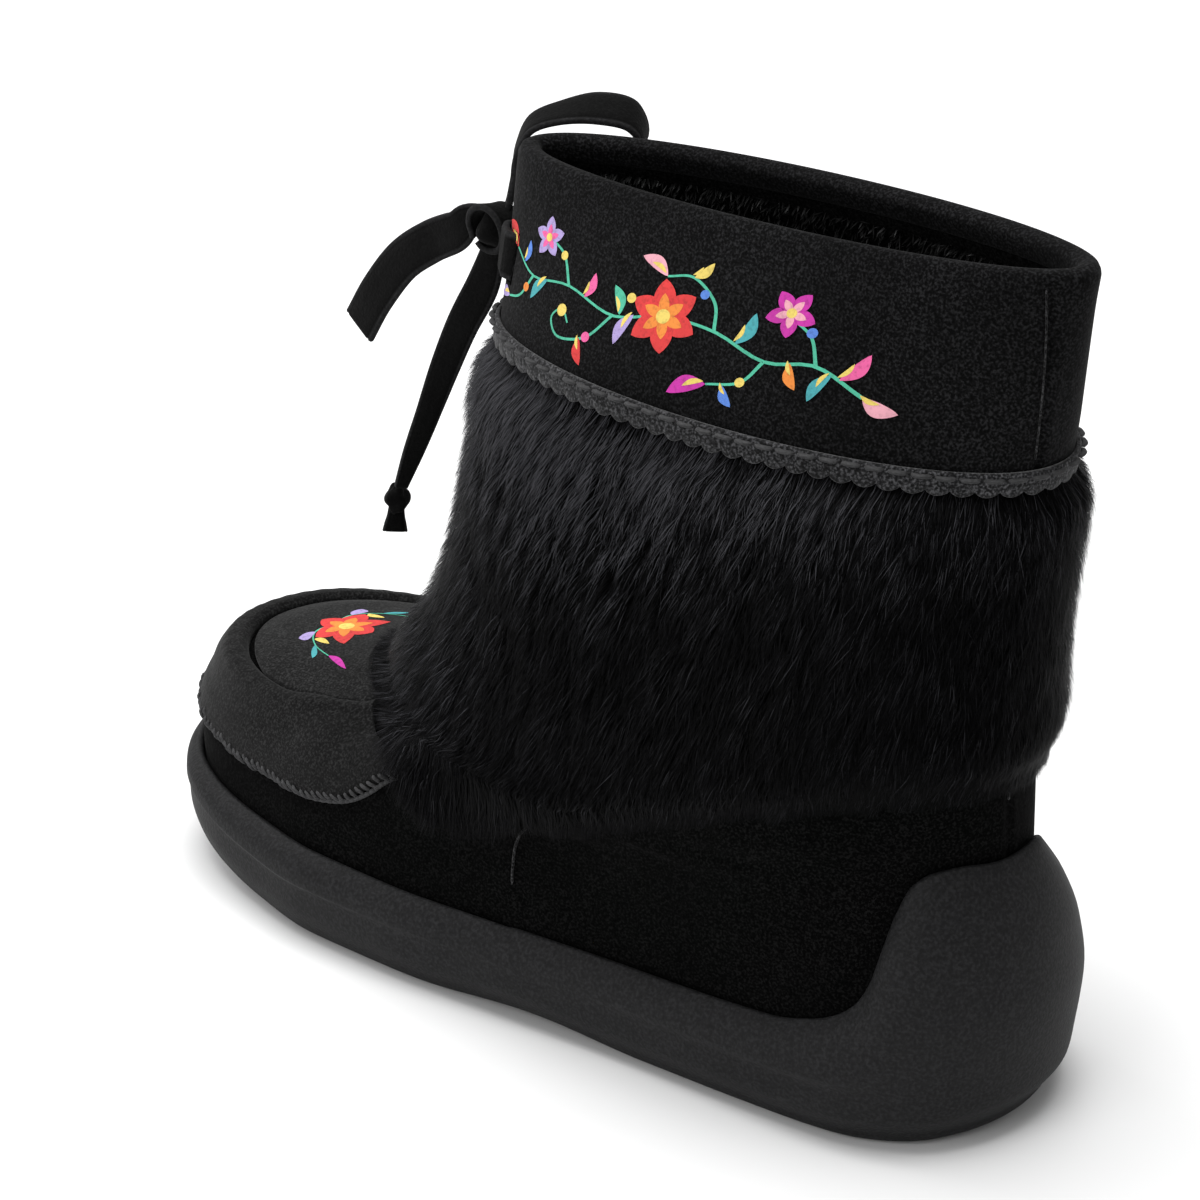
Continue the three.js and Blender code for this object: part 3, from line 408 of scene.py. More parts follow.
def widened(u, v):
    """Map coordinates of an open grid, with its last column twice."""
    uv = np.stack([u, v], -1)
    return np.concatenate([uv, uv[:, -1:]], 1)
def slab(name, outer, inner, material, ring=False, uv=None):
    """A closed sheet between two grids of points."""
    rows, cols = outer.shape[:2]
    count = rows * cols
    verts = np.concatenate([outer.reshape(-1, 3), inner.reshape(-1, 3)])
    if uv is None:
        uv = np.zeros((rows, cols + 1, 2))
    faces, maps = grid_faces(rows, cols, ring)
    back, back_maps = grid_faces(rows, cols, ring, flip=True, start=count)
    j = np.arange(cols if ring else cols - 1)
    k = (j + 1) % cols
    low = np.stack([count + j, j, k, count + k], -1)
    end_row = (rows - 1) * cols
    high = np.stack([end_row + j, count + end_row + j, count + end_row + k, end_row + k], -1)
    wide = cols + 1
    low_maps = np.stack([j, j, j + 1, j + 1], -1)
    high_maps = low_maps + (rows - 1) * wide
    all_faces, all_maps = [faces, back, low, high], [maps, back_maps, low_maps, high_maps]
    if not ring:
        i = np.arange(rows - 1)
        end = cols - 1
        all_faces += [
            np.stack([i * cols, count + i * cols, count + (i + 1) * cols, (i + 1) * cols], -1),
            np.stack([i * cols + end, (i + 1) * cols + end, count + (i + 1) * cols + end,
                      count + i * cols + end], -1),
        ]
        side = np.stack([i * wide, i * wide, (i + 1) * wide, (i + 1) * wide], -1)
        all_maps += [side, side + end]
    return new_mesh(name, verts, all_faces, material, np.asarray(uv).reshape(-1, 2), all_maps)


THREAD_SIDES = 6


def tubes(name, lines, radius, material, flat=1.0):
    """Round threads along many lines of equal length, closed at both ends, joined in one mesh."""
    lines = np.asarray(lines, float)
    many, stops = lines.shape[:2]
    sides = THREAD_SIDES
    forward = unit(np.gradient(lines, axis=1))
    side = unit(np.cross(forward, np.array([0.0, 0.0, 1.0])))
    over = np.cross(side, forward)
    angle = np.arange(sides) * 2 * np.pi / sides
    taper = np.ones(stops)
    taper[[0, -1]] = 0.35
    ring = side[:, :, None] * np.cos(angle)[:, None] + over[:, :, None] * np.sin(angle)[:, None] * flat
    points = lines[:, :, None] + ring * (radius * taper)[None, :, None, None]
    i, j = np.meshgrid(np.arange(stops - 1), np.arange(sides), indexing="ij")
    i, j = i.ravel(), j.ravel()
    k = (j + 1) % sides
    one = np.stack([i * sides + j, i * sides + k, (i + 1) * sides + k, (i + 1) * sides + j], -1)
    offset = (np.arange(many) * stops * sides)[:, None, None]
    body = (one[None] + offset).reshape(-1, 4)
    caps = np.stack([np.arange(sides)[::-1], (stops - 1) * sides + np.arange(sides)])
    caps = (caps[None] + offset).reshape(-1, sides)
    count = many * stops * sides
    uv = np.stack([np.tile(np.repeat(np.linspace(0, 1, stops), sides), many), np.zeros(count)], -1)
    return new_mesh(name, points.reshape(-1, 3), [body, caps], material, uv)


def hairs(name, stations, width, tone_and_highlight, material, facing):
    """Tapering ribbons through stations[hair][stop], facing outward, joined in one mesh."""
    many, stops = stations.shape[:2]
    forward = unit(np.gradient(stations, axis=1))
    side = unit(np.cross(forward, facing))
    half = (np.asarray(width)[:, None] / 2) * (1 - np.linspace(0, 1, stops) ** 2 * 0.75)[None]
    left = stations - side * half[..., None]
    right = stations + side * half[..., None]
    pairs = np.stack([left[:, :-1], right[:, :-1]], 2).reshape(many, -1, 3)
    points = np.concatenate([pairs, stations[:, -1:]], 1)
    per = points.shape[1]
    quads = np.array([[2 * s, 2 * s + 1, 2 * s + 3, 2 * s + 2] for s in range(stops - 2)])
    tip = np.array([[per - 3, per - 2, per - 1]])
    offset = (np.arange(many) * per)[:, None, None]
    faces = [(quads[None] + offset).reshape(-1, 4), (tip[None] + offset).reshape(-1, 3)]
    along = np.concatenate([np.repeat(np.linspace(0, 1, stops)[:-1], 2), [1.0]])
    uv = np.stack([np.tile(along, many), np.repeat(tone_and_highlight, per)], -1)
    return new_mesh(name, points.reshape(-1, 3), faces, material, uv)


# Materials
def tint(color, share):
    return tuple(channel * share for channel in color)


def grey(value):
    return (value,) * 3


class Paint:
    """A material while it's mixed: its nodes and the inputs of its shader."""

    def __init__(self, name, roughness=None, gloss=None, sheen=None):
        self.material = bpy.data.materials.new(name)
        self.material.use_nodes = True
        self.nodes, self.links = self.material.node_tree.nodes, self.material.node_tree.links
        self.inputs = self.nodes["Principled BSDF"].inputs
        wanted = (("Roughness", roughness), ("Specular IOR Level", gloss), ("Sheen Weight", sheen))
        for name_of_input, value in wanted:
            if value is not None:
                self.inputs[name_of_input].default_value = value

    def noise(self, scale, detail, stretch=None):
        coords = self.nodes.new("ShaderNodeTexCoord").outputs["Object"]
        if stretch is not None:
            mapping = self.nodes.new("ShaderNodeMapping")
            mapping.inputs["Scale"].default_value = stretch
            self.links.new(coords, mapping.inputs["Vector"])
            coords = mapping.outputs["Vector"]
        noise = self.nodes.new("ShaderNodeTexNoise")
        noise.inputs["Scale"].default_value = scale
        noise.inputs["Detail"].default_value = detail
        self.links.new(coords, noise.inputs["Vector"])
        return noise.outputs["Fac"]

    def ramp(self, factor, *stops):
        ramp = self.nodes.new("ShaderNodeValToRGB")
        elements = ramp.color_ramp.elements
        while len(elements) < len(stops):
            elements.new(0.5)
        for element, (place, color) in zip(elements, stops):
            element.position = place
            element.color = (*color, 1)
        self.links.new(factor, ramp.inputs["Fac"])
        return ramp.outputs["Color"]

    def map_axes(self):
        split = self.nodes.new("ShaderNodeSeparateXYZ")
        self.links.new(self.nodes.new("ShaderNodeTexCoord").outputs["UV"], split.inputs["Vector"])
        return split.outputs["X"], split.outputs["Y"]

    def cover(self, base, speck=None):
        """Set the base colour, multiplied by a second one if it's given."""
        if speck is not None:
            mixer = self.nodes.new("ShaderNodeMix")
            mixer.data_type = "RGBA"
            mixer.blend_type = "MULTIPLY"
            mixer.inputs["Factor"].default_value = 1.0
            self.links.new(base, mixer.inputs["A"])
            self.links.new(speck, mixer.inputs["B"])
            base = mixer.outputs["Result"]
        self.links.new(base, self.inputs["Base Color"])

    def bump(self, height, strength, distance):
        bump = self.nodes.new("ShaderNodeBump")
        bump.inputs["Strength"].default_value = strength
        bump.inputs["Distance"].default_value = distance
        self.links.new(height, bump.inputs["Height"])
        self.links.new(bump.outputs["Normal"], self.inputs["Normal"])


def suede_material(name, color, sheen, nap=1.0, gloss=0.12):
    """Suede: a fine nap of short fibres, cloudy where it's brushed, with a soft sheen."""
    paint = Paint(name, 0.93, gloss, sheen)
    paint.inputs["Sheen Roughness"].default_value = 0.45
    base = paint.ramp(paint.noise(38, 5), (0.32, tint(color, 0.8)), (0.7, tint(color, 1.22)))
    speck = paint.ramp(paint.noise(1500, 4), (0.38, grey(0.2)), (0.5, grey(0.85)), (0.65, grey(4)))
    paint.cover(base, speck)
    paint.bump(paint.noise(520, 6), 0.5 * nap, 0.0004)
    return paint.material


def rubber_material(name, color):
    """Moulded rubber: a very fine even grain, a little dusty, smoother where it's rubbed."""
    paint = Paint(name, gloss=0.16)
    grain = paint.noise(1100, 3)
    cloud = paint.noise(22, 4)
    base = paint.ramp(cloud, (0.3, tint(color, 0.9)), (0.72, tint(color, 1.12)))
    speck = paint.ramp(grain, (0.36, grey(0.55)), (0.5, grey(1)), (0.66, grey(1.9)))
    paint.cover(base, speck)
    rough = paint.ramp(cloud, (0.3, grey(0.57)), (0.7, grey(0.7)))
    paint.links.new(rough, paint.inputs["Roughness"])
    paint.bump(grain, 0.5, 0.0003)
    return paint.material


def fur_material(name, root, tip, shine=0.4, gloss=0.03, brightest=19.0):
    """Straight hair: dark at its root and lighter from its middle to near its tip, a painted highlight; each
    hair its own tone, the few grey ones at the top of the tone ramp painted highlights.
    """
    paint = Paint(name, shine, gloss)
    along, own = paint.map_axes()
    # Painted highlight: each hair is lighter from its middle to near its tip than at its root and its very
    # tip
    base = paint.ramp(along, (0.15, root), (0.5, tip), (0.8, tip), (1.0, tint(tip, 0.5)))
    # The top of the tone ramp makes the few grey hairs, which are painted highlights
    tone_and_highlight_stops = ((0.0, 0.3), (0.55, 0.75), (0.8, brightest * 0.22), (1.0, brightest))
    paint.cover(base, paint.ramp(own, *((place, grey(value)) for place, value in tone_and_highlight_stops)))
    return paint.material


def plush_material(name, color):
    """Plush pile: clumped short fibres."""
    paint = Paint(name, 0.95, sheen=0.3)
    paint.cover(paint.ramp(paint.noise(90, 3), (0.3, tint(color, 0.5)), (0.7, tint(color, 1.5))))
    paint.bump(paint.noise(420, 6), 0.9, 0.001)
    return paint.material


def thread_material(name, color):
    """Twisted thread: fine diagonal plies along it."""
    paint = Paint(name, 0.8)
    ply = paint.noise(900, 2, stretch=(1, 1, 2.5))
    paint.cover(paint.ramp(ply, (0.35, tint(color, 0.6)), (0.65, tint(color, 1.4))))
    paint.bump(ply, 0.6, 0.0003)
    return paint.material


def ink_material(name, color):
    """Printing ink on suede: the nap shows through it."""
    paint = Paint(name, 0.8)
    grain = paint.noise(900, 4)
    base = paint.ramp(paint.noise(120, 3), (0.3, tint(color, 0.86)), (0.7, tint(color, 1.1)))
    paint.cover(base, paint.ramp(grain, (0.3, grey(0.72)), (0.5, grey(1))))
    paint.bump(grain, 0.4, 0.0003)
    return paint.material


def floor_material(color):
    paint = Paint("studio_floor", 0.7)
    paint.cover(paint.ramp(paint.noise(3, 2), (0.3, tint(color, 0.99)), (0.7, color)))
    return paint.material


# Pieces
def footprint(turn, outset):
    def place(at):
        half = print_half(at)
        x = mix(-HALF_LENGTH, HALF_LENGTH, along_of(at))
        return np.stack([x, np.where(is_outer(at), half, -half), np.zeros_like(x)], -1)

    way = unit(place(turn + 0.004) - place(turn - 0.004))
    across = np.stack([-way[:, 1], way[:, 0], np.zeros(len(turn))], -1)
    return place(turn) + across * np.asarray(outset)[..., None]


def sole_turns():
    """Columns of the sole, even along its length and close together round both ends."""
    own = [turn_of(np.linspace(0, 1, 200)), np.linspace(0, 0.08, 24), np.linspace(0.42, 0.5, 24)]
    half = np.unique(np.round(np.concatenate(own), 5))
    half = half[np.concatenate([[True], np.diff(half) > 4e-4])]
    half[0], half[-1] = 0, 0.5
    return np.concatenate([half, 1 - half[-2:0:-1]])


def make_sole(color):
    turn = sole_turns()
    along = along_of(turn)
    flare = 1 + HEEL_FLARE * (1 - along) ** 6 - HEEL_FLARE * along**6
    low = [(rise, TREAD_INSET * share * np.ones(len(turn))) for rise, share in SOLE_LOW]
    low += [(rise, SOLE_BULGE * share * flare) for rise, share in SOLE_BULGES]
    stops = []
    for rise, outset in low:
        point = footprint(turn, outset)
        x = point[:, 0]
        point[:, 2] = spring(x) + arch(x) * (1 - rise / SOLE_BULGES[-1][0]) + rise
        stops.append(point)
    widest = stops[-1]
    top = cup_edge_line(along) + spring(bare(1, turn)[:, 0])
    top = top - INNER_RIM_DROP * ~is_outer(turn) * ease(along / 0.03) * ease((0.12 - along) / 0.05)
    wall = np.linalg.norm((widest - skin(level_at(turn, widest[:, 2]), turn))[:, :2], axis=-1)
    for share in CUP_RISES:
        out = mix(wall, CUP_EDGE_WALL, share**3)
        stops.append(skin(level_at(turn, mix(widest[:, 2], top, share)), turn, out))
    stops = np.array(stops)
    length = np.concatenate([[0], np.cumsum(np.linalg.norm(np.diff(stops, axis=0), axis=-1).mean(1))])
    fine = np.unique(np.concatenate([np.linspace(0, length[-1], 44), length[:3], [0.4, 0.9]]))
    side = np.empty((len(fine), len(turn), 3))
    for axis in range(3):
        for col in range(len(turn)):
            side[:, col, axis] = smooth(list(zip(length, stops[:, col, axis])))(fine)
    lip_level = level_at(turn, top)
    lip = [skin(lip_level, turn, CUP_EDGE_WALL * share + FIT_GAP * (1 - share)) for share in (0.8, 0.45, 0.1)]
    lip = [point + np.array([0, 0, rise]) for point, rise in zip(lip, (0.35, 0.5, 0.15))]
    inside = [skin(mix(lip_level, 0, share), turn, FIT_GAP) for share in (0.06, 0.4, 0.75, 1)]
    rings = np.concatenate([side, np.array(lip), np.array(inside)])
    rows, cols = rings.shape[:2]
    faces, maps = grid_faces(rows, cols, ring=True)
    uv = map_grid(rows, np.linspace(0, 1, cols + 1))
    verts, face_list = [rings.reshape(-1, 3)], [faces]
    # Tread and foot bed: strips from one side of the print to the other
    half = cols // 2
    count = rows * cols
    shares = np.linspace(0, 1, 26)[1:-1]
    for row, is_tread in ((0, True), (rows - 1, False)):
        one = rings[row, : half + 1]
        other = rings[row, (cols - np.arange(half + 1)) % cols]
        cross = one[:, None] + (other - one)[:, None] * shares[None, :, None]
        cross = cross[1:-1]
        if is_tread:
            x, y = cross[..., 0], cross[..., 1]
            cross[..., 2] = spring(x) + arch(x)
            depth = np.zeros_like(x)
            edge = np.minimum(np.abs(y - one[1:-1, None, 1]), np.abs(y - other[1:-1, None, 1]))
            inside_edge = ease((edge - (LUG_MARGIN - TREAD_INSET)) / 1.5)
            for start, end in LUG_FIELDS:
                lines = int((end - start) * SOLE_LENGTH // LUG_PITCH)
                for place in np.linspace(start, end, lines + 1):
                    middle = mix(-HALF_LENGTH, HALF_LENGTH, place)
                    groove = ease((LUG_GROOVE / 2 + 0.5 - np.abs(x - middle)) / 1.2)
                    depth = np.maximum(depth, groove * inside_edge)
            cross[..., 2] += depth * LUG_DEPTH * 0.93
        verts.append(cross.reshape(-1, 3))
        inner_index = count + np.arange(cross.shape[0] * cross.shape[1]).reshape(cross.shape[:2])
        edge_one = row * cols + np.arange(1, half)
        edge_other = row * cols + (cols - np.arange(1, half))
        table = np.concatenate([edge_one[:, None], inner_index, edge_other[:, None]], 1)
        quad = np.stack([table[:-1, :-1], table[1:, :-1], table[1:, 1:], table[:-1, 1:]], -1).reshape(-1, 4)
        face_list.append(quad[:, ::-1] if is_tread else quad)
        for tip, line in ((row * cols, table[0]), (row * cols + half, table[-1])):
            fan = np.stack([np.full(len(line) - 1, tip), line[:-1], line[1:]], -1)
            forward = (tip % cols == 0) != is_tread
            face_list.append(fan if forward else fan[:, ::-1])
        count += cross.shape[0] * cross.shape[1]
    verts = np.concatenate(verts)
    flat_uv = np.concatenate([uv, verts[:, :2] / SOLE_LENGTH])
    shift = (cols + 1) * rows
    uv_faces = [maps] + [f + shift for f in face_list[1:]]
    material = rubber_material("matte_rubber", color)
    obj = new_mesh("cup_sole", verts, face_list, material, flat_uv, uv_faces)
    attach(obj, "root")
    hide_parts("sole")
# Creases of the leather: turn, level, lean in radians, half length and depth in millimetres
CREASES = (
    (0.17, 6.4, 0.1, 16, -0.7), (0.2, 5.4, 0.25, 14, -0.6), (0.215, 4.6, -0.15, 12, -0.5),
    (0.13, 7.2, 0.0, 14, 0.5), (0.275, 4.9, 0.5, 12, -0.8), (0.285, 3.9, 0.35, 11, 0.6),
    (0.26, 5.9, -0.2, 9, -0.6),
)

def upper_relief(level, turn):
    """Soft troughs and ridges of the worn suede, and its seams, as a distance outward."""
    turn = turn - np.floor(turn)
    away = np.minimum(turn, 1 - turn)
    run = per_turn(level, turn)
    side_seam = (away - SEAM_TURN) * run
    relief = -1.0 * np.exp(-((side_seam + 0.9) / 0.9) ** 2) + 0.8 * np.exp(-((side_seam - 1.9) / 1.5) ** 2)
    relief = relief * np.clip(level - 1.5, 0, 1) * np.clip(8.5 - level, 0, 1)
    back = np.where(away < 0.2, bare(level, turn)[..., 1] - 2.0, 99)
    relief = relief - 0.7 * np.exp(-((back / 0.8) ** 2)) + 0.3 * np.exp(-(((np.abs(back) - 2.4) / 1.3) ** 2))
    for spot, height, lean, length, depth in CREASES:
        u = (away - spot) * run
        v = (level - height) * 9.0
        across = v * math.cos(lean) - u * math.sin(lean)
        down = u * math.cos(lean) + v * math.sin(lean)
        relief = relief + depth * np.exp(-((across / 3.2) ** 2)) * np.exp(-((down / length) ** 2))
    return relief


UPPER_COLUMNS = 320


def make_upper(color):
    turn = np.arange(UPPER_COLUMNS) / UPPER_COLUMNS
    bottom, foot_and_fur, shaft = np.linspace(0, 1, 4), np.linspace(1, 9.5, 80), np.linspace(9.5, RIM, 22)
    levels = np.concatenate([bottom[:-1], foot_and_fur, shaft[1:]])
    level, around = np.meshgrid(levels, turn, indexing="ij")
    outside = skin(level, around, upper_relief(level, around))
    level, around = np.meshgrid(np.linspace(RIM, 0, 40), turn, indexing="ij")
    rings = np.concatenate([outside, skin(level, around, -UPPER_WALL)])
    rows, cols = rings.shape[:2]
    faces, maps = grid_faces(rows, cols, ring=True)
    closing = np.arange(cols)
    after = (closing + 1) % cols
    last = np.stack([(rows - 1) * cols + closing, closing, after, (rows - 1) * cols + after], -1)
    last_maps = np.stack([closing, closing, closing + 1, closing + 1], -1)
    material = suede_material("upper_suede", color, sheen=0.008, gloss=0.03)
    uv = map_grid(rows, np.linspace(0, 1, cols + 1))
    obj = new_mesh("suede_upper", rings.reshape(-1, 3), [faces, last], material, uv, [maps, last_maps])
    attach(obj, "root")
    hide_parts("upper")


def make_seams(color):
    """Folded edges, in a lighter suede as a painted highlight: the two side seams, the back strip and the
    cuff's back seam.
    """
    rises = np.linspace(0, 1, 60)
    lines = []
    for side in (1, -1):
        turn = np.full(60, 0.5 - side * (0.5 - SEAM_TURN))
        low, high = 2.2, float(fur_hem(np.array([turn[0]]))[0]) + 0.1
        lines.append(skin(mix(low, high, rises), turn, 0.55))
    # Painted highlight: the edges take a suede far lighter than the upper and the cuff, standing for light
    # caught by the folds
    edge = suede_material("seam_edge_highlight", tint(color, 0.55), sheen=0.05)
    side_seams = tubes("side_seam_edges", lines, 0.4, edge)
    level = mix(8.0, 10.2, rises)
    back_edge = tubes("back_strip_edge", [skin(level, turn_at(level, 2.6), 0.5)], 0.35, edge)
    level = mix(TRIM + 0.2, RIM - 0.1, rises)
    cuff_edge = tubes("cuff_seam_edge", [skin(level, turn_at(level, 7.2), CUFF_OUT + 0.3)], 0.28, edge)
    for one in (side_seams, back_edge, cuff_edge):
        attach(one, "root")


def turn_at(level, across):
    """The turn on the outer side of the heel where the leather is a distance across from the middle."""
    turns = np.linspace(0, 0.2, 400)
    return np.array([np.interp(across, bare(lv, turns)[:, 1], turns) for lv in level])


LINING_HAIRS = 14000


def make_lining_pile(rng, color):
    """Short plush fibres over the part of the lining that shows."""
    many = LINING_HAIRS
    turn = rng.random(many)
    level = RIM - 0.35 - 2.2 * rng.random(many) ** 1.4
    root = skin(level, turn, -UPPER_WALL)
    out = -outward(level, turn)
    drift = unit(rng.normal(size=(many, 3)) * 0.6 + out + np.array([0, 0, -0.5]))
    tall = 1.8 + 1.2 * rng.random(many)
    stops = np.array([0, 0.5, 1.0])
    stations = root[:, None] + drift[:, None] * (tall[:, None] * stops)[..., None]
    material = fur_material("plush_pile", tint(color, 0.5), tint(color, 1.2), shine=0.7, brightest=3.0)
    width = 0.35 + 0.25 * rng.random(many)
    obj = hairs("lining_pile", stations, width, rng.random(many), material, out[:, None])
    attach(obj, "root")


def vamp_place(side, share):
    at = np.abs(side)
    away = mix(vamp_low(at), vamp_high(at), share)
    return mix(vamp_low_level(at), vamp_high_level(at), share), 0.5 + np.sign(side) * away


def make_vamp(color, thread_color):
    sides = np.linspace(-1, 1, 321)
    shares = np.concatenate([[0, 0.02], np.linspace(0.05, 0.9, 33), [0.93, 0.95, 0.97, 0.985, 1.0]])
    share, side = np.meshgrid(shares, sides, indexing="ij")
    level, turn = vamp_place(side, share)
    outer = mix(VAMP_THICKNESS, VAMP_ROLL, vamp_roll_line(share))
    outer = outer * np.where(share < 0.02, 0.45, 1.0)
    pucker = np.cos(side * np.pi * 46 + 2 * np.sin(side * 9)) * 0.07 * np.exp(-(((share - 0.8) / 0.12) ** 2))
    wave = 0.35 * np.sin(side * 17 + share * 5) * ease((share - 0.15) / 0.3) * ease((0.75 - share) / 0.3)
    outside = skin(level, turn, outer + pucker + wave)
    inside = skin(level, turn, np.minimum(FIT_GAP, outer * 0.5))
    uv = widened(share * 40, side * 180)
    obj = slab("puckered_vamp", outside, inside, suede_material("vamp_suede", color, sheen=0.06), uv=uv)
    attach(obj, "root")
    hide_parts("vamp")

    # The whip stitch that ties the vamp's low edge to the upper, each bite a slanted loop of thick thread
    dense = np.linspace(-1, 1, 1200)
    edge = skin(*vamp_place(dense, np.zeros_like(dense)), 1.0)
    run = run_along(edge)
    bites = np.interp(np.arange(2, run[-1] - 2, 2.5), run, dense)
    rng = np.random.default_rng(11)
    steps = np.linspace(0, 1, 7)
    lines = []
    for start in bites:
        low, higher = (skin(*vamp_place(start, share), 1.0) for share in (0.0, 0.05))
        share_per_mm = 0.05 / np.linalg.norm(higher - low)
        side = np.clip(start + (steps - 0.5) * (0.009 + 0.005 * rng.normal()), -1, 1)
        level, turn = vamp_place(side, (mix(-1.1, 1.7, steps) + 0.35 * rng.normal()) * share_per_mm)
        arc = 0.4 + np.interp(steps, [0, 0.35, 0.6, 1], [0.1, 1.1, 1.6, 1.3]) + 0.2 * rng.normal()
        lines.append(skin(level, turn, arc))
    thread = thread_material("whip_thread", thread_color)
    stitch = tubes("whip_stitch", lines, 0.52, thread)
    along = np.linspace(-1, 1, 400)
    level, turn = vamp_place(along, np.full_like(along, -0.02))
    wobble = 0.25 * np.sin(along * 300)
    cord = tubes("whip_cord", [skin(level, turn, 0.6 + wobble)], 0.7, thread)
    for one in (stitch, cord):
        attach(one, "root")


def plug_place(side, at):
    """Across the plug from -1 to 1, and up it from 0 at the toe to 1 under the fur."""
    place = mix(3 / 8, 1.0, at)
    away = vamp_high(place) - 2 * FIT_GAP / (np.pi * 2 * HALF_BALL)
    return vamp_high_level(place) + 0.05 * (1 - at), 0.5 - side * away


def plug_crown(side, at):
    edge = np.minimum(1 - np.abs(side), at * 1.6)
    return PLUG_THICKNESS + 0.9 + PLUG_CROWN * ease(edge / 0.55) - 1.2 * (1 - ease(edge / 0.05))


def make_plug(color):
    sides, ats = np.linspace(-1, 1, 97), np.linspace(0, 1, 90)
    at, side = np.meshgrid(ats, sides, indexing="ij")
    level, turn = plug_place(side, at)
    crown = plug_crown(side, at)
    outside = skin(level, turn, crown)
    inside = skin(level, turn, FIT_GAP)
    # Painted highlight: the plug takes the vamp's colour made 1.35 times lighter, for its top that faces the
    # light
    material = suede_material("plug_suede", tint(color, 1.35), sheen=0.08)
    obj = slab("toe_plug_panel", outside, inside, material, uv=widened(side, at))
    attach(obj, "root")
    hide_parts("toe_plug")


# How far the tips of the hair stand out: share of the band's height, millimetres
FUR_TIPS = (
    (-0.06, 3), (0, 4.2), (0.07, 6.6), (0.2, 8), (0.36, 7.8), (0.6, 8.4), (0.82, 9.8), (0.9, 8.6),
    (0.945, 4.2), (1, 2.6),
)
# What is added to it over the instep
INSTEP_TIPS = ((-0.12, 5.2), (0, 4.4), (0.15, 3.2), (0.35, 1.2), (0.5, 0))
# The hair is made in parts; each hair has its stops, and lies in a lock of one tier
FUR_PARTS, FUR_STOPS = 5, 3
FUR_LOCKS, FUR_TIERS = 120, 18


def fur_depth(share, turn):
    """How far the hair's tips stand out at a share of the band's height."""
    front = ease((0.26 - np.abs(turn - np.floor(turn) - 0.5)) / 0.1)
    return np.interp(share, *zip(*FUR_TIPS)) + front * np.interp(share, *zip(*INSTEP_TIPS))


def comb(level, turn):
    """The way hair lies, down and a little to the toe: turns and levels for each millimetre."""
    across = (bare(level, turn + 0.002) - bare(level, turn - 0.002)) / 0.004
    up = (bare(level + 0.02, turn) - bare(level - 0.02, turn)) / 0.04
    pull = np.array([0.2, 0, -1])
    aa, ab, bb = (across * across).sum(-1), (across * up).sum(-1), (up * up).sum(-1)
    pa, pb = across @ pull, up @ pull
    by_turn, by_level = pa * bb - pb * ab, pb * aa - pa * ab
    size = np.linalg.norm(across * by_turn[:, None] + up * by_level[:, None], axis=-1)
    return by_turn / size, by_level / size


def scatter(*values):
    """A number from 0 to 1 that looks random but is the same for the same values."""
    mixed = sum(value * factor for value, factor in zip(values, (127.1, 311.7, 74.7)))
    return np.modf(np.abs(np.sin(mixed)) * 43758.5)[0]


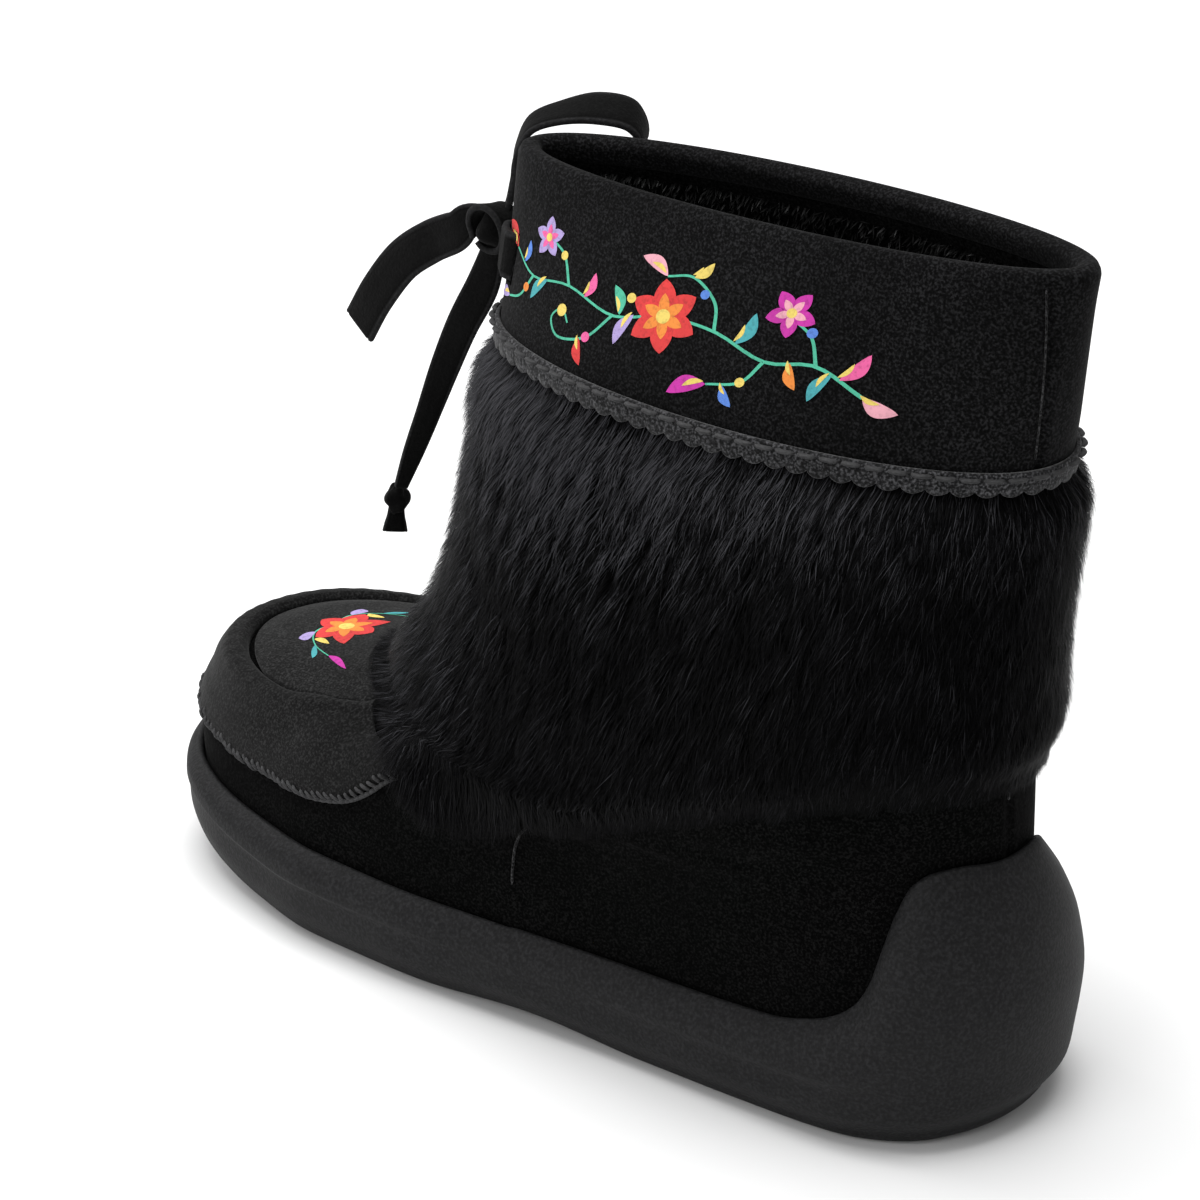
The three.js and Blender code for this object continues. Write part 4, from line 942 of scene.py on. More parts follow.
def make_fur(rng, count, root, tip):
    cols, rows = 240, 36
    turn = np.arange(cols) / cols
    share, around = np.meshgrid(np.linspace(0, 1, rows), turn, indexing="ij")
    top = level_over(TRIM, turn, -FIT_GAP)
    level = mix(fur_hem(turn)[None], top[None], share)
    hide = fur_material("fur_hide", tint(root, 0.6), tint(root, 0.6), shine=0.8, gloss=0.02)
    outside = skin(level, around, fur_depth(share, 0.0) * 0.62)
    body = slab("fur_hide", outside, skin(level, around, FIT_GAP), hide, ring=True)
    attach(body, "root")
    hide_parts("fur_band")

    # Hair, combed down in small overlapping locks that meet in points below the hem
    material = fur_material("straight_fur", root, tip)
    per = count // FUR_PARTS
    for part in range(FUR_PARTS):
        turn = rng.random(per)
        share = rng.random(per)
        share[: per // 6] = rng.random(per // 6) * 0.08
        hem = fur_hem(turn)
        top = level_over(TRIM, turn, -1.0)
        level = mix(hem, top, share)
        tier = np.floor(share * FUR_TIERS + scatter(np.floor(turn * FUR_LOCKS * 0.5)) * 0.9)
        slide = scatter(tier) - 0.5
        centre = (np.floor(turn * FUR_LOCKS + slide) + 0.5 - slide) / FUR_LOCKS
        own = scatter(np.round(centre * FUR_LOCKS * 2), tier)
        front = ease((0.24 - np.abs(turn - 0.5)) / 0.05)
        length = (6.5 + 4.5 * rng.random(per)) * (0.85 + 0.3 * own) * np.interp(share, [0, 0.1], [0.6, 1])
        length = length + front * np.interp(share, [0, 0.12, 0.3], [6, 5, 0])
        drift = 0.16 * rng.normal(size=per) + 0.35 * (own - 0.5)
        rooted = 0.35 + 0.5 * rng.random(per)
        reach = 0.84 + 0.26 * rng.random(per) + 0.16 * (own - 0.5)
        clump = np.where(share < 0.1, 0.5, 0.25)
        stations = np.empty((per, FUR_STOPS, 3))
        at, down = turn, level
        for i in range(FUR_STOPS):
            here = (down - fur_hem(at)) / (top - fur_hem(at))
            lift = mix(rooted, reach, math.sin(math.pi / 2 * i / (FUR_STOPS - 1)))
            stations[:, i] = skin(down, at, fur_depth(here, at) * lift)
            for _ in range(2):
                step = length / (FUR_STOPS - 1) / 2
                by_turn, by_level = comb(down, at)
                at = at + (by_turn + drift / per_turn(down, at)) * step
                at = mix(at, centre + at - turn, clump / 2 / (FUR_STOPS - 1))
                down = np.maximum(down + by_level * step, 1.2)
        facing = outward(level, turn)[:, None]
        # Painted highlight: hairs near the top of the band, most towards the front, and all hairs over the
        # front are given a lighter tone, added to each hair's own random tone
        lit = ease((0.42 - np.abs(turn - 0.5)) / 0.2)
        shine = 0.5 * np.exp(-(((share - 0.92) / 0.17) ** 2)) * (0.3 + 0.7 * lit)
        shine = shine + 0.16 * ease((0.22 - np.abs(turn - 0.5)) / 0.1)
        tone_and_highlight = np.clip(rng.random(per) * 0.8 + 0.16 * (own - 0.5) + shine, 0, 1)
        width = 0.16 + 0.15 * rng.random(per)
        obj = hairs(f"fur_hair_{part + 1}", stations, width, tone_and_highlight, material, facing)
        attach(obj, "root")


def turn_out(distance):
    """The turn from the front where the cuff is a distance out from the middle."""
    away = np.linspace(0, 0.25, 500)
    return float(np.interp(distance, skin(LACE_LEVEL, 0.5 - away, CUFF_OUT)[:, 1], away))


LACE_LEVEL = front_level(LACE_HEIGHT)
SLIT_INNER, SLIT_OUTER = turn_out(13.3), turn_out(16.7)


def make_cuff(color):
    reach = front_level(LACE_HEIGHT + LACE_WIDTH / 2 + 0.7) - LACE_LEVEL
    slit_low, slit_high = LACE_LEVEL - reach, LACE_LEVEL + reach
    own = [0.5 + s * a for s in (-1, 1) for a in (SLIT_INNER, SLIT_OUTER)]
    turn = np.sort(np.concatenate([np.arange(300) / 300, own]))
    levels = np.unique(np.concatenate([np.linspace(TRIM, RIM - 0.06, 34), [slit_low, slit_high]]))
    low = level_over(TRIM, turn, 0.15)
    level, around = np.meshgrid(levels, turn, indexing="ij")
    level = np.maximum(level, low[None])
    back = np.where(np.minimum(around, 1 - around) < 0.2, bare(level, around)[..., 1] - 6.5, 99)
    seam = -0.9 * np.exp(-((back / 0.6) ** 2)) + 0.3 * np.exp(-(((np.abs(back) - 2) / 1.1) ** 2))
    swell = 0.35 * np.sin(around * 2 * np.pi * 3 + level) * ease((level - TRIM) * 2) * ease((RIM - level) * 2)
    outside = skin(level, around, CUFF_OUT + seam + swell)
    rim = skin(RIM, turn, 0)
    out = outward(RIM, turn)
    fold = [(2.95, -0.5), (2.5, 0.45), (1.6, 1.0), (0.4, 1.25), (-0.9, 1.1), (-1.9, 0.6), (-2.5, -0.5)]
    over = [rim + out * push + np.array([0, 0, rise]) for push, rise in fold]
    facing = [skin(level_over(RIM, turn, -drop), turn, -UPPER_WALL - 0.6 + 0.15 * dip)
              for drop, dip in ((2.0, 0), (4.0, 0), (5.2, 1), (5.6, 3.5))]
    back_side = [skin(stop, turn, FIT_GAP) for stop in (RIM - 0.02, slit_high, slit_low)]
    back_side.append(skin(low, turn, FIT_GAP))
    rings = np.concatenate([outside, np.array(over), np.array(facing)])
    rows, cols = rings.shape[:2]
    faces, maps = grid_faces(rows, cols, ring=True)
    i, j = np.divmod(np.arange(len(faces)), cols)
    mid = (turn[j] + np.where(j == cols - 1, 1, turn[(j + 1) % cols])) / 2
    in_slit = (np.abs(mid - 0.5) > SLIT_INNER) & (np.abs(mid - 0.5) < SLIT_OUTER)
    row_level = levels[np.clip(i, 0, len(levels) - 1)]
    next_level = levels[np.clip(i + 1, 0, len(levels) - 1)]
    in_slit &= (row_level > slit_low - 1e-6) & (next_level < slit_high + 1e-6) & (i < len(levels) - 1)
    material = suede_material("cuff_suede", color, sheen=0.03, gloss=0.06)
    uv = map_grid(rows, np.append(turn, 1.0))
    obj = new_mesh("suede_cuff", rings.reshape(-1, 3), faces[~in_slit], material, uv, maps[~in_slit])
    backing = np.array(back_side[::-1])
    rows, cols = backing.shape[:2]
    faces, maps = grid_faces(rows, cols, ring=True, flip=True)
    uv = np.zeros((rows * (cols + 1), 2))
    inner = new_mesh("cuff_backing", backing.reshape(-1, 3), faces, material, uv, maps)
    walls = []
    for side in (-1, 1):
        for away, flip in ((SLIT_INNER, side > 0), (SLIT_OUTER, side < 0)):
            at = np.full(12, 0.5 + side * away)
            line = np.linspace(slit_low, slit_high, 12)
            walls.append((np.stack([skin(line, at, 0.4), skin(line, at, CUFF_OUT)], 1), flip))
        for line in (slit_low, slit_high):
            at = 0.5 + side * np.linspace(SLIT_INNER, SLIT_OUTER, 6)
            walls.append((np.stack([skin(line, at, 0.4), skin(line, at, CUFF_OUT)], 1), False))
    points, faces, start = [], [], 0
    for wall, _ in walls:
        f, _ = grid_faces(*wall.shape[:2], start=start)
        faces.append(f)
        points.append(wall.reshape(-1, 3))
        start += wall.shape[0] * wall.shape[1]
    uv = np.zeros((start, 2))
    slit = new_mesh("slit_walls", np.concatenate(points), np.concatenate(faces), material, uv)
    for one in (obj, inner, slit):
        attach(one, "root")
    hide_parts("cuff")


SCALLOP_WIDTH = 5.9
SCALLOP_STOPS = 12
SCALLOP_DROP = 5.0
TRIM_STITCH_PITCH = 5.75


def make_trim(color, thread_color):
    dense = np.linspace(0, 1, 2001)
    run = run_along(skin(TRIM, dense, TRIM_IN + TRIM_THICKNESS))
    scallops = int(round(run[-1] / SCALLOP_WIDTH))
    per = SCALLOP_STOPS
    turn = np.interp(np.arange(scallops * per) / (scallops * per) * run[-1], run, dense)
    phase = np.abs(np.sin(np.arange(scallops * per) / per * np.pi))
    drop = -SCALLOP_DROP + 1.5 * (1 - phase**0.7)
    rises = [drop, drop + 0.35, drop * 0.5, *(np.full_like(drop, rise) for rise in (-0.8, 0.6, 1.3))]
    outs = [-0.35, 0.0, 0.05, 0.12, 0.1, -0.3]
    level = np.array([level_over(TRIM, turn, rise) for rise in rises])
    around = np.broadcast_to(turn, level.shape)
    lift = np.array(outs)[:, None] + 0.2 * np.sin(np.arange(len(turn)) / per * 0.9)[None]
    outside = skin(level, around, TRIM_IN + TRIM_THICKNESS + lift)
    inside = skin(level, around, TRIM_IN)
    material = suede_material("trim_suede", color, nap=1.6, sheen=0.16)
    obj = slab("scalloped_trim", outside, inside, material, ring=True)
    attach(obj, "root")
    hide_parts("trim")
    starts = np.arange(0, run[-1] - 3, TRIM_STITCH_PITCH)
    lines = []
    for start in starts:
        at = np.interp(start + np.linspace(0, 5.0, 7), run, dense)
        arc = np.array([-0.3, 0.45, 0.75, 0.8, 0.75, 0.45, -0.3])
        level = level_over(TRIM, at, 0.2 + 0.25 * math.sin(start))
        lines.append(skin(level, at, TRIM_IN + TRIM_THICKNESS + arc))
    stitch = tubes("trim_stitch", lines, 0.8, thread_material("trim_thread", thread_color), flat=0.7)
    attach(stitch, "root")


# Lace
def spline(stops, count):
    """Catmull-Rom through the stops, evenly spaced."""
    stops = np.asarray(stops, float)
    padded = np.concatenate([[2 * stops[0] - stops[1]], stops, [2 * stops[-1] - stops[-2]]])
    out = []
    for p0, p1, p2, p3 in zip(padded, padded[1:], padded[2:], padded[3:]):
        t = np.linspace(0, 1, 24, endpoint=False)[:, None]
        out.append(0.5 * ((2 * p1) + (p2 - p0) * t + (2 * p0 - 5 * p1 + 4 * p2 - p3) * t**2
                          + (3 * p1 - p0 - 3 * p2 + p3) * t**3))
    out = np.concatenate([*out, stops[-1:]])
    run = run_along(out)
    at = np.linspace(0, run[-1], count)
    return np.stack([np.interp(at, run, out[:, axis]) for axis in range(out.shape[1])], -1)


# Half of the strap's cross-section: across, over
STRAP_SECTION = (
    (1, 0), (0.97, 0.7), (0.86, 1), (0.78, 0.74), (0.7, 1), (0.35, 1.02), (0, 1), (-0.35, 1.02),
    (-0.7, 1), (-0.78, 0.74), (-0.86, 1), (-0.97, 0.7), (-1, 0),
)
STRAP_STOPS = 90


def strap(name, stops, material, seed, taper=None):
    """A flat strap, its edges rounded and hemmed. Returns it with its path in metres."""
    places = spline([np.concatenate([at, np.asarray(wide) * 10]) for at, wide in stops], STRAP_STOPS)
    centre, wide = places[:, :3], places[:, 3:] / 10
    forward = unit(np.gradient(centre, axis=0))
    size = np.clip(np.linalg.norm(wide, axis=-1), 0.35, 1.0)[:, None]
    across = unit(wide - forward * (wide * forward).sum(-1, keepdims=True))
    thick = np.cross(forward, across)
    half = LACE_WIDTH / 2 * size
    if taper is not None:
        half = half * taper[:, None]
    section = [*STRAP_SECTION, *((-a, -b) for a, b in STRAP_SECTION[1:-1])]
    rng = np.random.default_rng(seed)
    even = np.linspace(0, 1, STRAP_STOPS)
    sway = np.interp(even, np.linspace(0, 1, 9), rng.normal(size=9) * 0.22)[:, None]
    rings = np.stack([
        centre + across * half * a + thick * (LACE_THICKNESS / 2 * b + sway * (1 - a * a)) for a, b in section
    ], 1)
    rows, cols = rings.shape[:2]
    faces, maps = grid_faces(rows, cols, ring=True)
    caps = [np.arange(cols)[None], ((rows - 1) * cols + np.arange(cols))[None, ::-1]]
    across_uv = np.append([a for a, _ in section], 1.0)
    uv = np.stack([np.broadcast_to(across_uv, (rows, cols + 1)),
                   np.broadcast_to(np.linspace(0, 1, rows)[:, None], (rows, cols + 1))], -1).reshape(-1, 2)
    cap_maps = [np.arange(cols)[None], ((rows - 1) * (cols + 1) + np.arange(cols))[None, ::-1]]
    obj = new_mesh(name, rings.reshape(-1, 3), [faces, *caps], material, uv, [maps, *cap_maps])
    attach(obj, "root")
    path = (centre + SHIFT) * MM
    return obj, path


def lace_material(color, edge):
    """Soft black suede strap, lighter along its folded edges: a painted highlight."""
    paint = Paint("lace_suede", 0.9, 0.06, 0.02)
    spread = paint.nodes.new("ShaderNodeMath")
    spread.operation = "ABSOLUTE"
    paint.links.new(paint.map_axes()[0], spread.inputs[0])
    # Painted highlight: past 0.84 of the strap's half width it takes the lighter edge colour, with a darker
    # line just inside it
    stops = ((0.66, color), (0.72, tint(color, 0.5)), (0.84, edge), (1.0, edge))
    edge_highlight = paint.ramp(spread.outputs["Value"], *stops)
    grain = paint.noise(1200, 4)
    paint.cover(edge_highlight, paint.ramp(grain, (0.35, grey(0.65)), (0.55, grey(1)), (0.75, grey(1.6))))
    paint.bump(grain, 0.6, 0.0004)
    return paint.material


def path_length(path):
    return float(np.linalg.norm(np.diff(path, axis=0), axis=-1).sum())


def declare_cord(obj, path):
    tuple(path[0])
    path_length(path)


def make_lace(color, edge):
    # edge is the colour of the painted highlight along the lace's folded edges
    material = lace_material(color, edge)
    reach = front_level(LACE_HEIGHT + LACE_WIDTH / 2) - LACE_LEVEL
    bar_out = CUFF_OUT + FIT_GAP + LACE_THICKNESS
    knot_centre = skin(LACE_LEVEL, 0.5, bar_out + FIT_GAP + KNOT_SIZE / 2)

    # Bar: out of one slit, over the cuff's front and into the other
    inner, outer = turn_out(14.0), turn_out(16.0)
    away = np.concatenate([np.linspace(0, inner, 26), np.linspace(inner, outer, 7)[1:]])
    away = np.concatenate([-away[:0:-1], away])
    share = np.linspace(-1, 1, 13)
    row, side = np.meshgrid(share, away, indexing="ij")
    dip = np.interp(np.abs(side), [0, inner, mix(inner, outer, 0.5), outer], [0, 0, 1.0, 2.6])
    edge_dip = 0.35 * (np.abs(row) > 0.9)
    pinch = 1 - 0.35 * np.exp(-((side / 0.02) ** 2))
    level = LACE_LEVEL + row * reach * pinch
    outside = skin(level, 0.5 - side, bar_out - dip - edge_dip + 0.2 * np.cos(side * 160))
    inside = skin(level, 0.5 - side, np.maximum(0.7, CUFF_OUT + FIT_GAP - dip * 1.4))
    bar = slab("lace_bar_strap", outside, inside, material, uv=widened(row, side * 8))
    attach(bar, "root")
    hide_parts("lace_bar")

    # Knot: a lump of folded strap with one band over it
    rows, cols = 40, 64
    up_lump, round_lump = np.linspace(0.03, np.pi - 0.03, rows), np.arange(cols) * 2 * np.pi / cols
    polar, around = np.meshgrid(up_lump, round_lump, indexing="ij")
    fold = 1 + 0.07 * np.sin(around * 3 + polar * 2.5) + 0.05 * np.sin(polar * 5 - around)
    lump = np.stack([
        np.sin(polar) * np.cos(around) * 0.95, np.sin(polar) * np.sin(around) * 1.2, np.cos(polar) * 1.1,
    ], -1)
    points = knot_centre + lump * (KNOT_SIZE / 2 * fold)[..., None]
    faces, maps = grid_faces(rows, cols, ring=True, flip=True)
    caps = [np.arange(cols)[None], ((rows - 1) * cols + np.arange(cols))[None, ::-1]]
    flat = np.zeros((rows * (cols + 1), 2))
    knot = new_mesh("lace_knot_lump", points.reshape(-1, 3), [faces, *caps], material, flat, [maps, *caps])
    band_stops = []
    for a in np.linspace(-0.35, 2 * np.pi - 0.6, 13):
        way = np.array([1.02 * math.cos(a), 0.25 * math.sin(a) + 0.25, 1.17 * math.sin(a)])
        band_stops.append((knot_centre + KNOT_SIZE / 2 * way, (0.05, 0.75, 0.12)))
    band, _ = strap("lace_knot_band", band_stops, material, 4)
    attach(knot, "root")
    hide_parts("lace_knot")

    def from_knot(stops, start):
        return [(knot_centre + np.array(at), wide) for at, wide in (start, *stops)]

    short_stops = from_knot(SHORT_END, ((-3, 0.5, 1.5), (0.2, 0, -0.6)))
    short, short_path = strap("lace_short_strap", short_stops, material, 2)
    long_stops = from_knot(LONG_END, ((1, -0.5, 0.5), (0.6, 0, 0.1)))
    taper = np.interp(np.linspace(0, 1, STRAP_STOPS), [0, 0.3, 0.7, 1], [1, 0.92, 0.7, 0.6])
    long, long_path = strap("lace_long_strap", long_stops, material, 3, taper)
    upper_stops = from_knot(UPPER_LOOP, ((-0.5, -1, 1), (0.5, -0.5, 0)))
    upper_loop, upper_path = strap("lace_upper_loop", upper_stops, material, 5)
    lower_stops = from_knot(LOWER_LOOP, ((0.3, -1, -0.5), (0.6, -0.2, 0.35)))
    lower_loop, lower_path = strap("lace_lower_loop", lower_stops, material, 6)

    # The long end's own knot, with its short flared tail
    end = knot_centre + np.array(LONG_END[-1][0]) + np.array([1.6, 0, -4.1])
    fold = 1 + 0.1 * np.sin(around * 2 + polar * 4) + 0.05 * np.sin(around * 5)
    points = end + lump * (3.7 * fold)[..., None] * np.array([0.92, 0.8, 1.02])
    tip_knot = new_mesh("lace_tip_lump", points.reshape(-1, 3), [faces, *caps], material, flat, [maps, *caps])
    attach(tip_knot, "root")
    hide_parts("lace_tip_knot")
    tail_route = (
        ((0.3, 0, -2.5), (0.2, 0.3, 0)), ((0.6, 0, -5.5), (0.26, 0.34, 0)),
        ((0.9, 0, -8), (0.34, 0.4, 0)), ((1.1, 0, -10), (0.4, 0.42, 0.1)),
    )
    tail_stops = [(end + np.array(at), wide) for at, wide in tail_route]
    tail, _ = strap("lace_tail", tail_stops, material, 7)

    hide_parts("lace_short_end")
    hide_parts("lace_long_end")
    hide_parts("lace_loop_upper")
    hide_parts("lace_loop_lower")
    declare_cord(short, short_path)
    declare_cord(long, long_path)
    declare_cord(upper_loop, upper_path)
    declare_cord(lower_loop, lower_path)


# Floral print: a generic pattern of leaves, berries and open flowers along curling stems
def decal(name, shapes, place, colors):
    """Flat shapes on a surface: each is a filled outline (points, color index) in millimetres on the flat."""
    verts, tris, groups, start = [], [], [], 0
    for outline, color, lift in shapes:
        outline = np.asarray(outline, float)
        middle = outline.mean(0)
        rings = [middle[None]] + [mix(middle, outline, share) for share in (0.35, 0.7, 1.0)]
        n = len(outline)
        points = np.concatenate(rings)
        verts.append(place(points, lift))
        j = np.arange(n)
        k = (j + 1) % n
        fan = np.stack([np.zeros(n, int), 1 + j, 1 + k], -1)
        bands = [np.stack([1 + r * n + j, 1 + (r + 1) * n + j, 1 + (r + 1) * n + k], -1) for r in range(2)]
        bands += [np.stack([1 + r * n + j, 1 + (r + 1) * n + k, 1 + r * n + k], -1) for r in range(2)]
        faces = np.concatenate([fan, *bands]) + start
        tris.append(faces)
        groups.append(np.full(len(faces), color))
        start += len(points)
    verts, tris = np.concatenate(verts), np.concatenate(tris)
    obj = new_mesh(name, verts, tris, colors, np.zeros((len(verts), 2)), groups=np.concatenate(groups))
    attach(obj, "root")
    return obj


def leaf(base, angle, length, width, bend=0.0):
    """A pointed leaf from its base, bent to one side."""
    t = np.linspace(0, 1, 12)
    half = width / 2 * np.sin(np.pi * t) ** 0.8
    spine_u, spine_v = length * t, bend * length * np.sin(np.pi * t)
    left = np.stack([spine_u, spine_v + half], -1)
    right = np.stack([spine_u, spine_v - half], -1)[-2:0:-1]
    outline = np.concatenate([left, right])
    turned = np.array([[math.cos(angle), math.sin(angle)], [-math.sin(angle), math.cos(angle)]])
    return outline @ turned + np.asarray(base)


def dot(middle, radius):
    a = np.arange(16) * 2 * np.pi / 16
    return np.stack([np.cos(a) * radius, np.sin(a) * radius], -1) + np.asarray(middle)


def stem(line, width):
    """Short pieces of one stem, so that each keeps to the curved surface."""
    line = spline(line, 40)
    way = unit(np.gradient(line, axis=0))
    side = np.stack([-way[:, 1], way[:, 0]], -1)
    taper = np.linspace(1, 0.6, len(line))[:, None] * width / 2
    left, right = line + side * taper, line - side * taper
    return [np.array([left[i], left[i + 1], right[i + 1], right[i]]) for i in range(len(line) - 1)]


PRINT_COLORS = (
    ("stem_green", (0.06, 0.42, 0.27)), ("leaf_teal", (0.05, 0.33, 0.36)), ("petal_pink", (0.72, 0.1, 0.3)),
    ("petal_magenta", (0.5, 0.02, 0.32)), ("petal_red", (0.6, 0.03, 0.03)),
    ("petal_orange", (0.72, 0.22, 0.03)),
    ("bud_blue", (0.08, 0.2, 0.6)), ("petal_lavender", (0.36, 0.28, 0.55)),
    ("pollen_yellow", (0.72, 0.55, 0.12)),
    ("petal_blush", (0.75, 0.35, 0.42)),
)
GREEN, TEAL, PINK, MAGENTA, RED, ORANGE, BLUE, LAVENDER, YELLOW, BLUSH = range(10)


def flower(middle, size, petals, outer, inner, start):
    shapes = []
    for i in range(petals):
        angle = start + i * 2 * math.pi / petals
        shapes.append((leaf(middle, angle, size, size * 0.62), outer, 0.02))
        shapes.append((leaf(middle, angle, size * 0.62, size * 0.3), inner, 0.05))
    shapes.append((dot(middle, size * 0.2), YELLOW, 0.08))
    return shapes


def vine_shapes():
    """The cuff's print, on a flat 100 mm long: x forwards to the toe, y up."""
    shapes = []

    def add_stem(line, width=0.9):
        shapes.extend((piece, GREEN, 0.0) for piece in stem(line, width))

    add_stem([(-52, -9), (-40, -3), (-28, -4), (-14, 1), (0, 2), (14, -1), (30, 3), (44, 2), (54, 7)])
    add_stem([(-40, -3), (-37, 4), (-31, 8)])
    add_stem([(-28, -4), (-24, -10), (-16, -12)])
    add_stem([(-14, 1), (-12, 8), (-5, 13), (2, 12)])
    add_stem([(14, -1), (20, -8), (29, -10), (33, -6), (30, -3), (27, -6)], 0.8)
    add_stem([(30, 3), (34, 10), (40, 13)])
    add_stem([(44, 2), (48, -4), (54, -6)])
    shapes.extend(flower((0, 2), 9.5, 6, RED, ORANGE, 0.3))
    shapes.extend(flower((-31, 9), 6.2, 5, MAGENTA, BLUSH, 0.9))
    shapes.extend(flower((41, 13), 5.4, 5, LAVENDER, PINK, 0.2))
    for base, angle, length, width, color in (
        ((-46, -5.5), 2.2, 9, 3.4, PINK), ((-44, -4.6), -1.1, 8, 3.0, TEAL),
        ((-34, -3.2), -2.0, 7, 2.6, ORANGE),
        ((-20, -1), 1.9, 9, 3.2, TEAL), ((-16, -12), -0.4, 10, 4.2, MAGENTA),
        ((-20, -11.5), -2.2, 6, 2.4, BLUE),
        ((8, 0.6), -1.2, 9, 3.2, LAVENDER), ((12, -0.4), 1.1, 8, 3.0, GREEN), ((2, 12), 0.4, 9, 3.4, BLUSH),
        ((-5, 13), 2.3, 6, 2.4, YELLOW), ((22, -8.6), -1.9, 7, 2.8, RED), ((24, 1.4), 1.8, 7, 2.6, PINK),
        ((38, 2.6), -0.9, 8, 3.0, TEAL), ((54, 7), 0.5, 10, 4.0, RED), ((54, -6), -0.2, 8, 3.0, LAVENDER),
        ((49, 4.4), 1.7, 6, 2.2, BLUE), ((-52, -9), 3.5, 9, 3.6, BLUSH),
    ):
        shapes.append((leaf(base, angle, length, width, 0.12), color, 0.02))
        shapes.append((leaf(np.asarray(base) + 0.6, angle, length * 0.55, width * 0.35, 0.1), YELLOW, 0.05))
    for middle, radius, color in (((-37, 5), 1.3, BLUE), ((-24, -10), 1.2, YELLOW), ((34, 10), 1.2, YELLOW),
                                  ((20, -8), 1.3, PINK), ((-9, 9.5), 1.2, BLUE), ((30, -3.4), 1.6, YELLOW),
                                  ((46, -1.5), 1.2, ORANGE), ((10, 4.6), 1.3, YELLOW)):
        shapes.append((dot(middle, radius), color, 0.03))
    return shapes


def plug_shapes():
    """The toe plug's print: one open flower between two sprays of leaves, x across, y up from the toe."""
    shapes = []
    for side in (-1, 1):
        spray = [(0, 6), (side * 8, 2), (side * 15, 5), (side * 19, 11)]
        shapes.extend((piece, GREEN, 0.0) for piece in stem(spray, 0.9))
        for base, angle, length, width, color in (
            ((side * 8, 2.2), -0.9, 9, 4.2, LAVENDER), ((side * 15, 5), -0.3, 7, 2.8, TEAL),
            ((side * 19, 11), 1.0, 9, 3.6, MAGENTA), ((side * 12, 3.6), 1.5, 7, 2.6, YELLOW),
        ):
            turned = angle if side > 0 else math.pi - angle
            shapes.append((leaf(base, turned, length, width, 0.1 * side), color, 0.02))
    shapes.extend(flower((0, 10), 12.5, 6, RED, ORANGE, 0.52))
    return shapes


# The cuff's print: how much it falls towards the toe, and its stretch along the cuff
PRINT_SLOPE = -0.07
PRINT_STRETCH = 1.16
PRINT_LEVEL = TRIM + 0.85
INK_OUT = 0.12


def make_prints():
    inks = [ink_material(name, color) for name, color in PRINT_COLORS]

    def cuff_place(centre_turn, direction):
        dense = centre_turn + np.linspace(-0.3, 0.3, 601)
        run = run_along(skin(PRINT_LEVEL, dense, CUFF_OUT))
        run -= run[300]

        def place(points, lift):
            turn = np.interp(points[:, 0] * PRINT_STRETCH * direction, run, dense)
            level = level_over(PRINT_LEVEL, turn, points[:, 1] + PRINT_SLOPE * points[:, 0])
            swell = 0.35 * np.sin(turn * 2 * np.pi * 3 + level)
            swell = swell * ease((level - TRIM) * 2) * ease((RIM - level) * 2)
            return skin(level, turn, CUFF_OUT + swell + INK_OUT + lift)

        return place
    shapes = vine_shapes()
    for name, turn, direction in (("cuff_print_outer", 0.275, 1), ("cuff_print_inner", 0.725, -1)):
        decal(name, shapes, cuff_place(turn, direction), inks)

    def plug_at(points, lift):
        at = np.clip(0.53 + points[:, 1] / 74, 0, 1)
        side = np.clip(points[:, 0] / 38, -0.97, 0.97)
        level, turn = plug_place(side, at)
        return skin(level, turn, plug_crown(side, at) + INK_OUT + lift)

    decal("plug_print", plug_shapes(), plug_at, inks)


# Stage
CAMERA_PLACE = (-618.7, 723.6, 544.9)
CAMERA_AIM = (-0.5, 2.0, 105.0)
CAMERA_LENS = 118.0
FLOOR_HALF = 6.0
SKY_STRENGTH = 0.4
# Lights: place in metres, power in watts, width in metres
STUDIO_LIGHTS = (
    ("key_light", (0.15, -0.05, 2.4), 64, 1.9), ("side_light", (1.7, 0.1, 1.2), 14, 1.2),
    ("fill_light", (0.2, 2.1, 1.2), 16, 1.4),
)


def make_stage(color):
    """Floor, soft lights and the camera at the photo's place."""
    scene = bpy.context.scene
    size = FLOOR_HALF
    verts = np.array([[-size, -size, 0], [size, -size, 0], [size, size, 0], [-size, size, 0]]) / MM
    floor = new_mesh("studio_floor", verts - SHIFT, np.array([[0, 1, 2, 3]]), floor_material(color))
    world = bpy.data.worlds.new("studio_light")
    scene.world = world
    world.use_nodes = True
    world.node_tree.nodes["Background"].inputs["Color"].default_value = (1, 1, 1, 1)
    world.node_tree.nodes["Background"].inputs["Strength"].default_value = SKY_STRENGTH
    for name, place, power, wide in STUDIO_LIGHTS:
        data = bpy.data.lights.new(name, "AREA")
        data.energy, data.size = power, wide
        lamp = bpy.data.objects.new(name, data)
        scene.collection.objects.link(lamp)
        lamp.location = place
        lamp.rotation_euler = (Vector((0, 0, 0.1)) - Vector(place)).to_track_quat("-Z", "Y").to_euler()
    data = bpy.data.cameras.new("photo_camera")
    data.sensor_width = 36
    data.lens = CAMERA_LENS
    data.clip_end = 50
    camera = bpy.data.objects.new("photo_camera", data)
    scene.collection.objects.link(camera)
    place, aim = (Vector((np.array(point) + SHIFT) * MM) for point in (CAMERA_PLACE, CAMERA_AIM))
    camera.location = place
    camera.rotation_euler = (aim - place).to_track_quat("-Z", "Y").to_euler()
    scene.camera = camera
    scene.view_settings.view_transform = "Standard"


# Sizes and colours that a user would change
def shade(name, description, color):
    return bpy.props.FloatVectorProperty(name=name, description=description, subtype="COLOR", default=color)


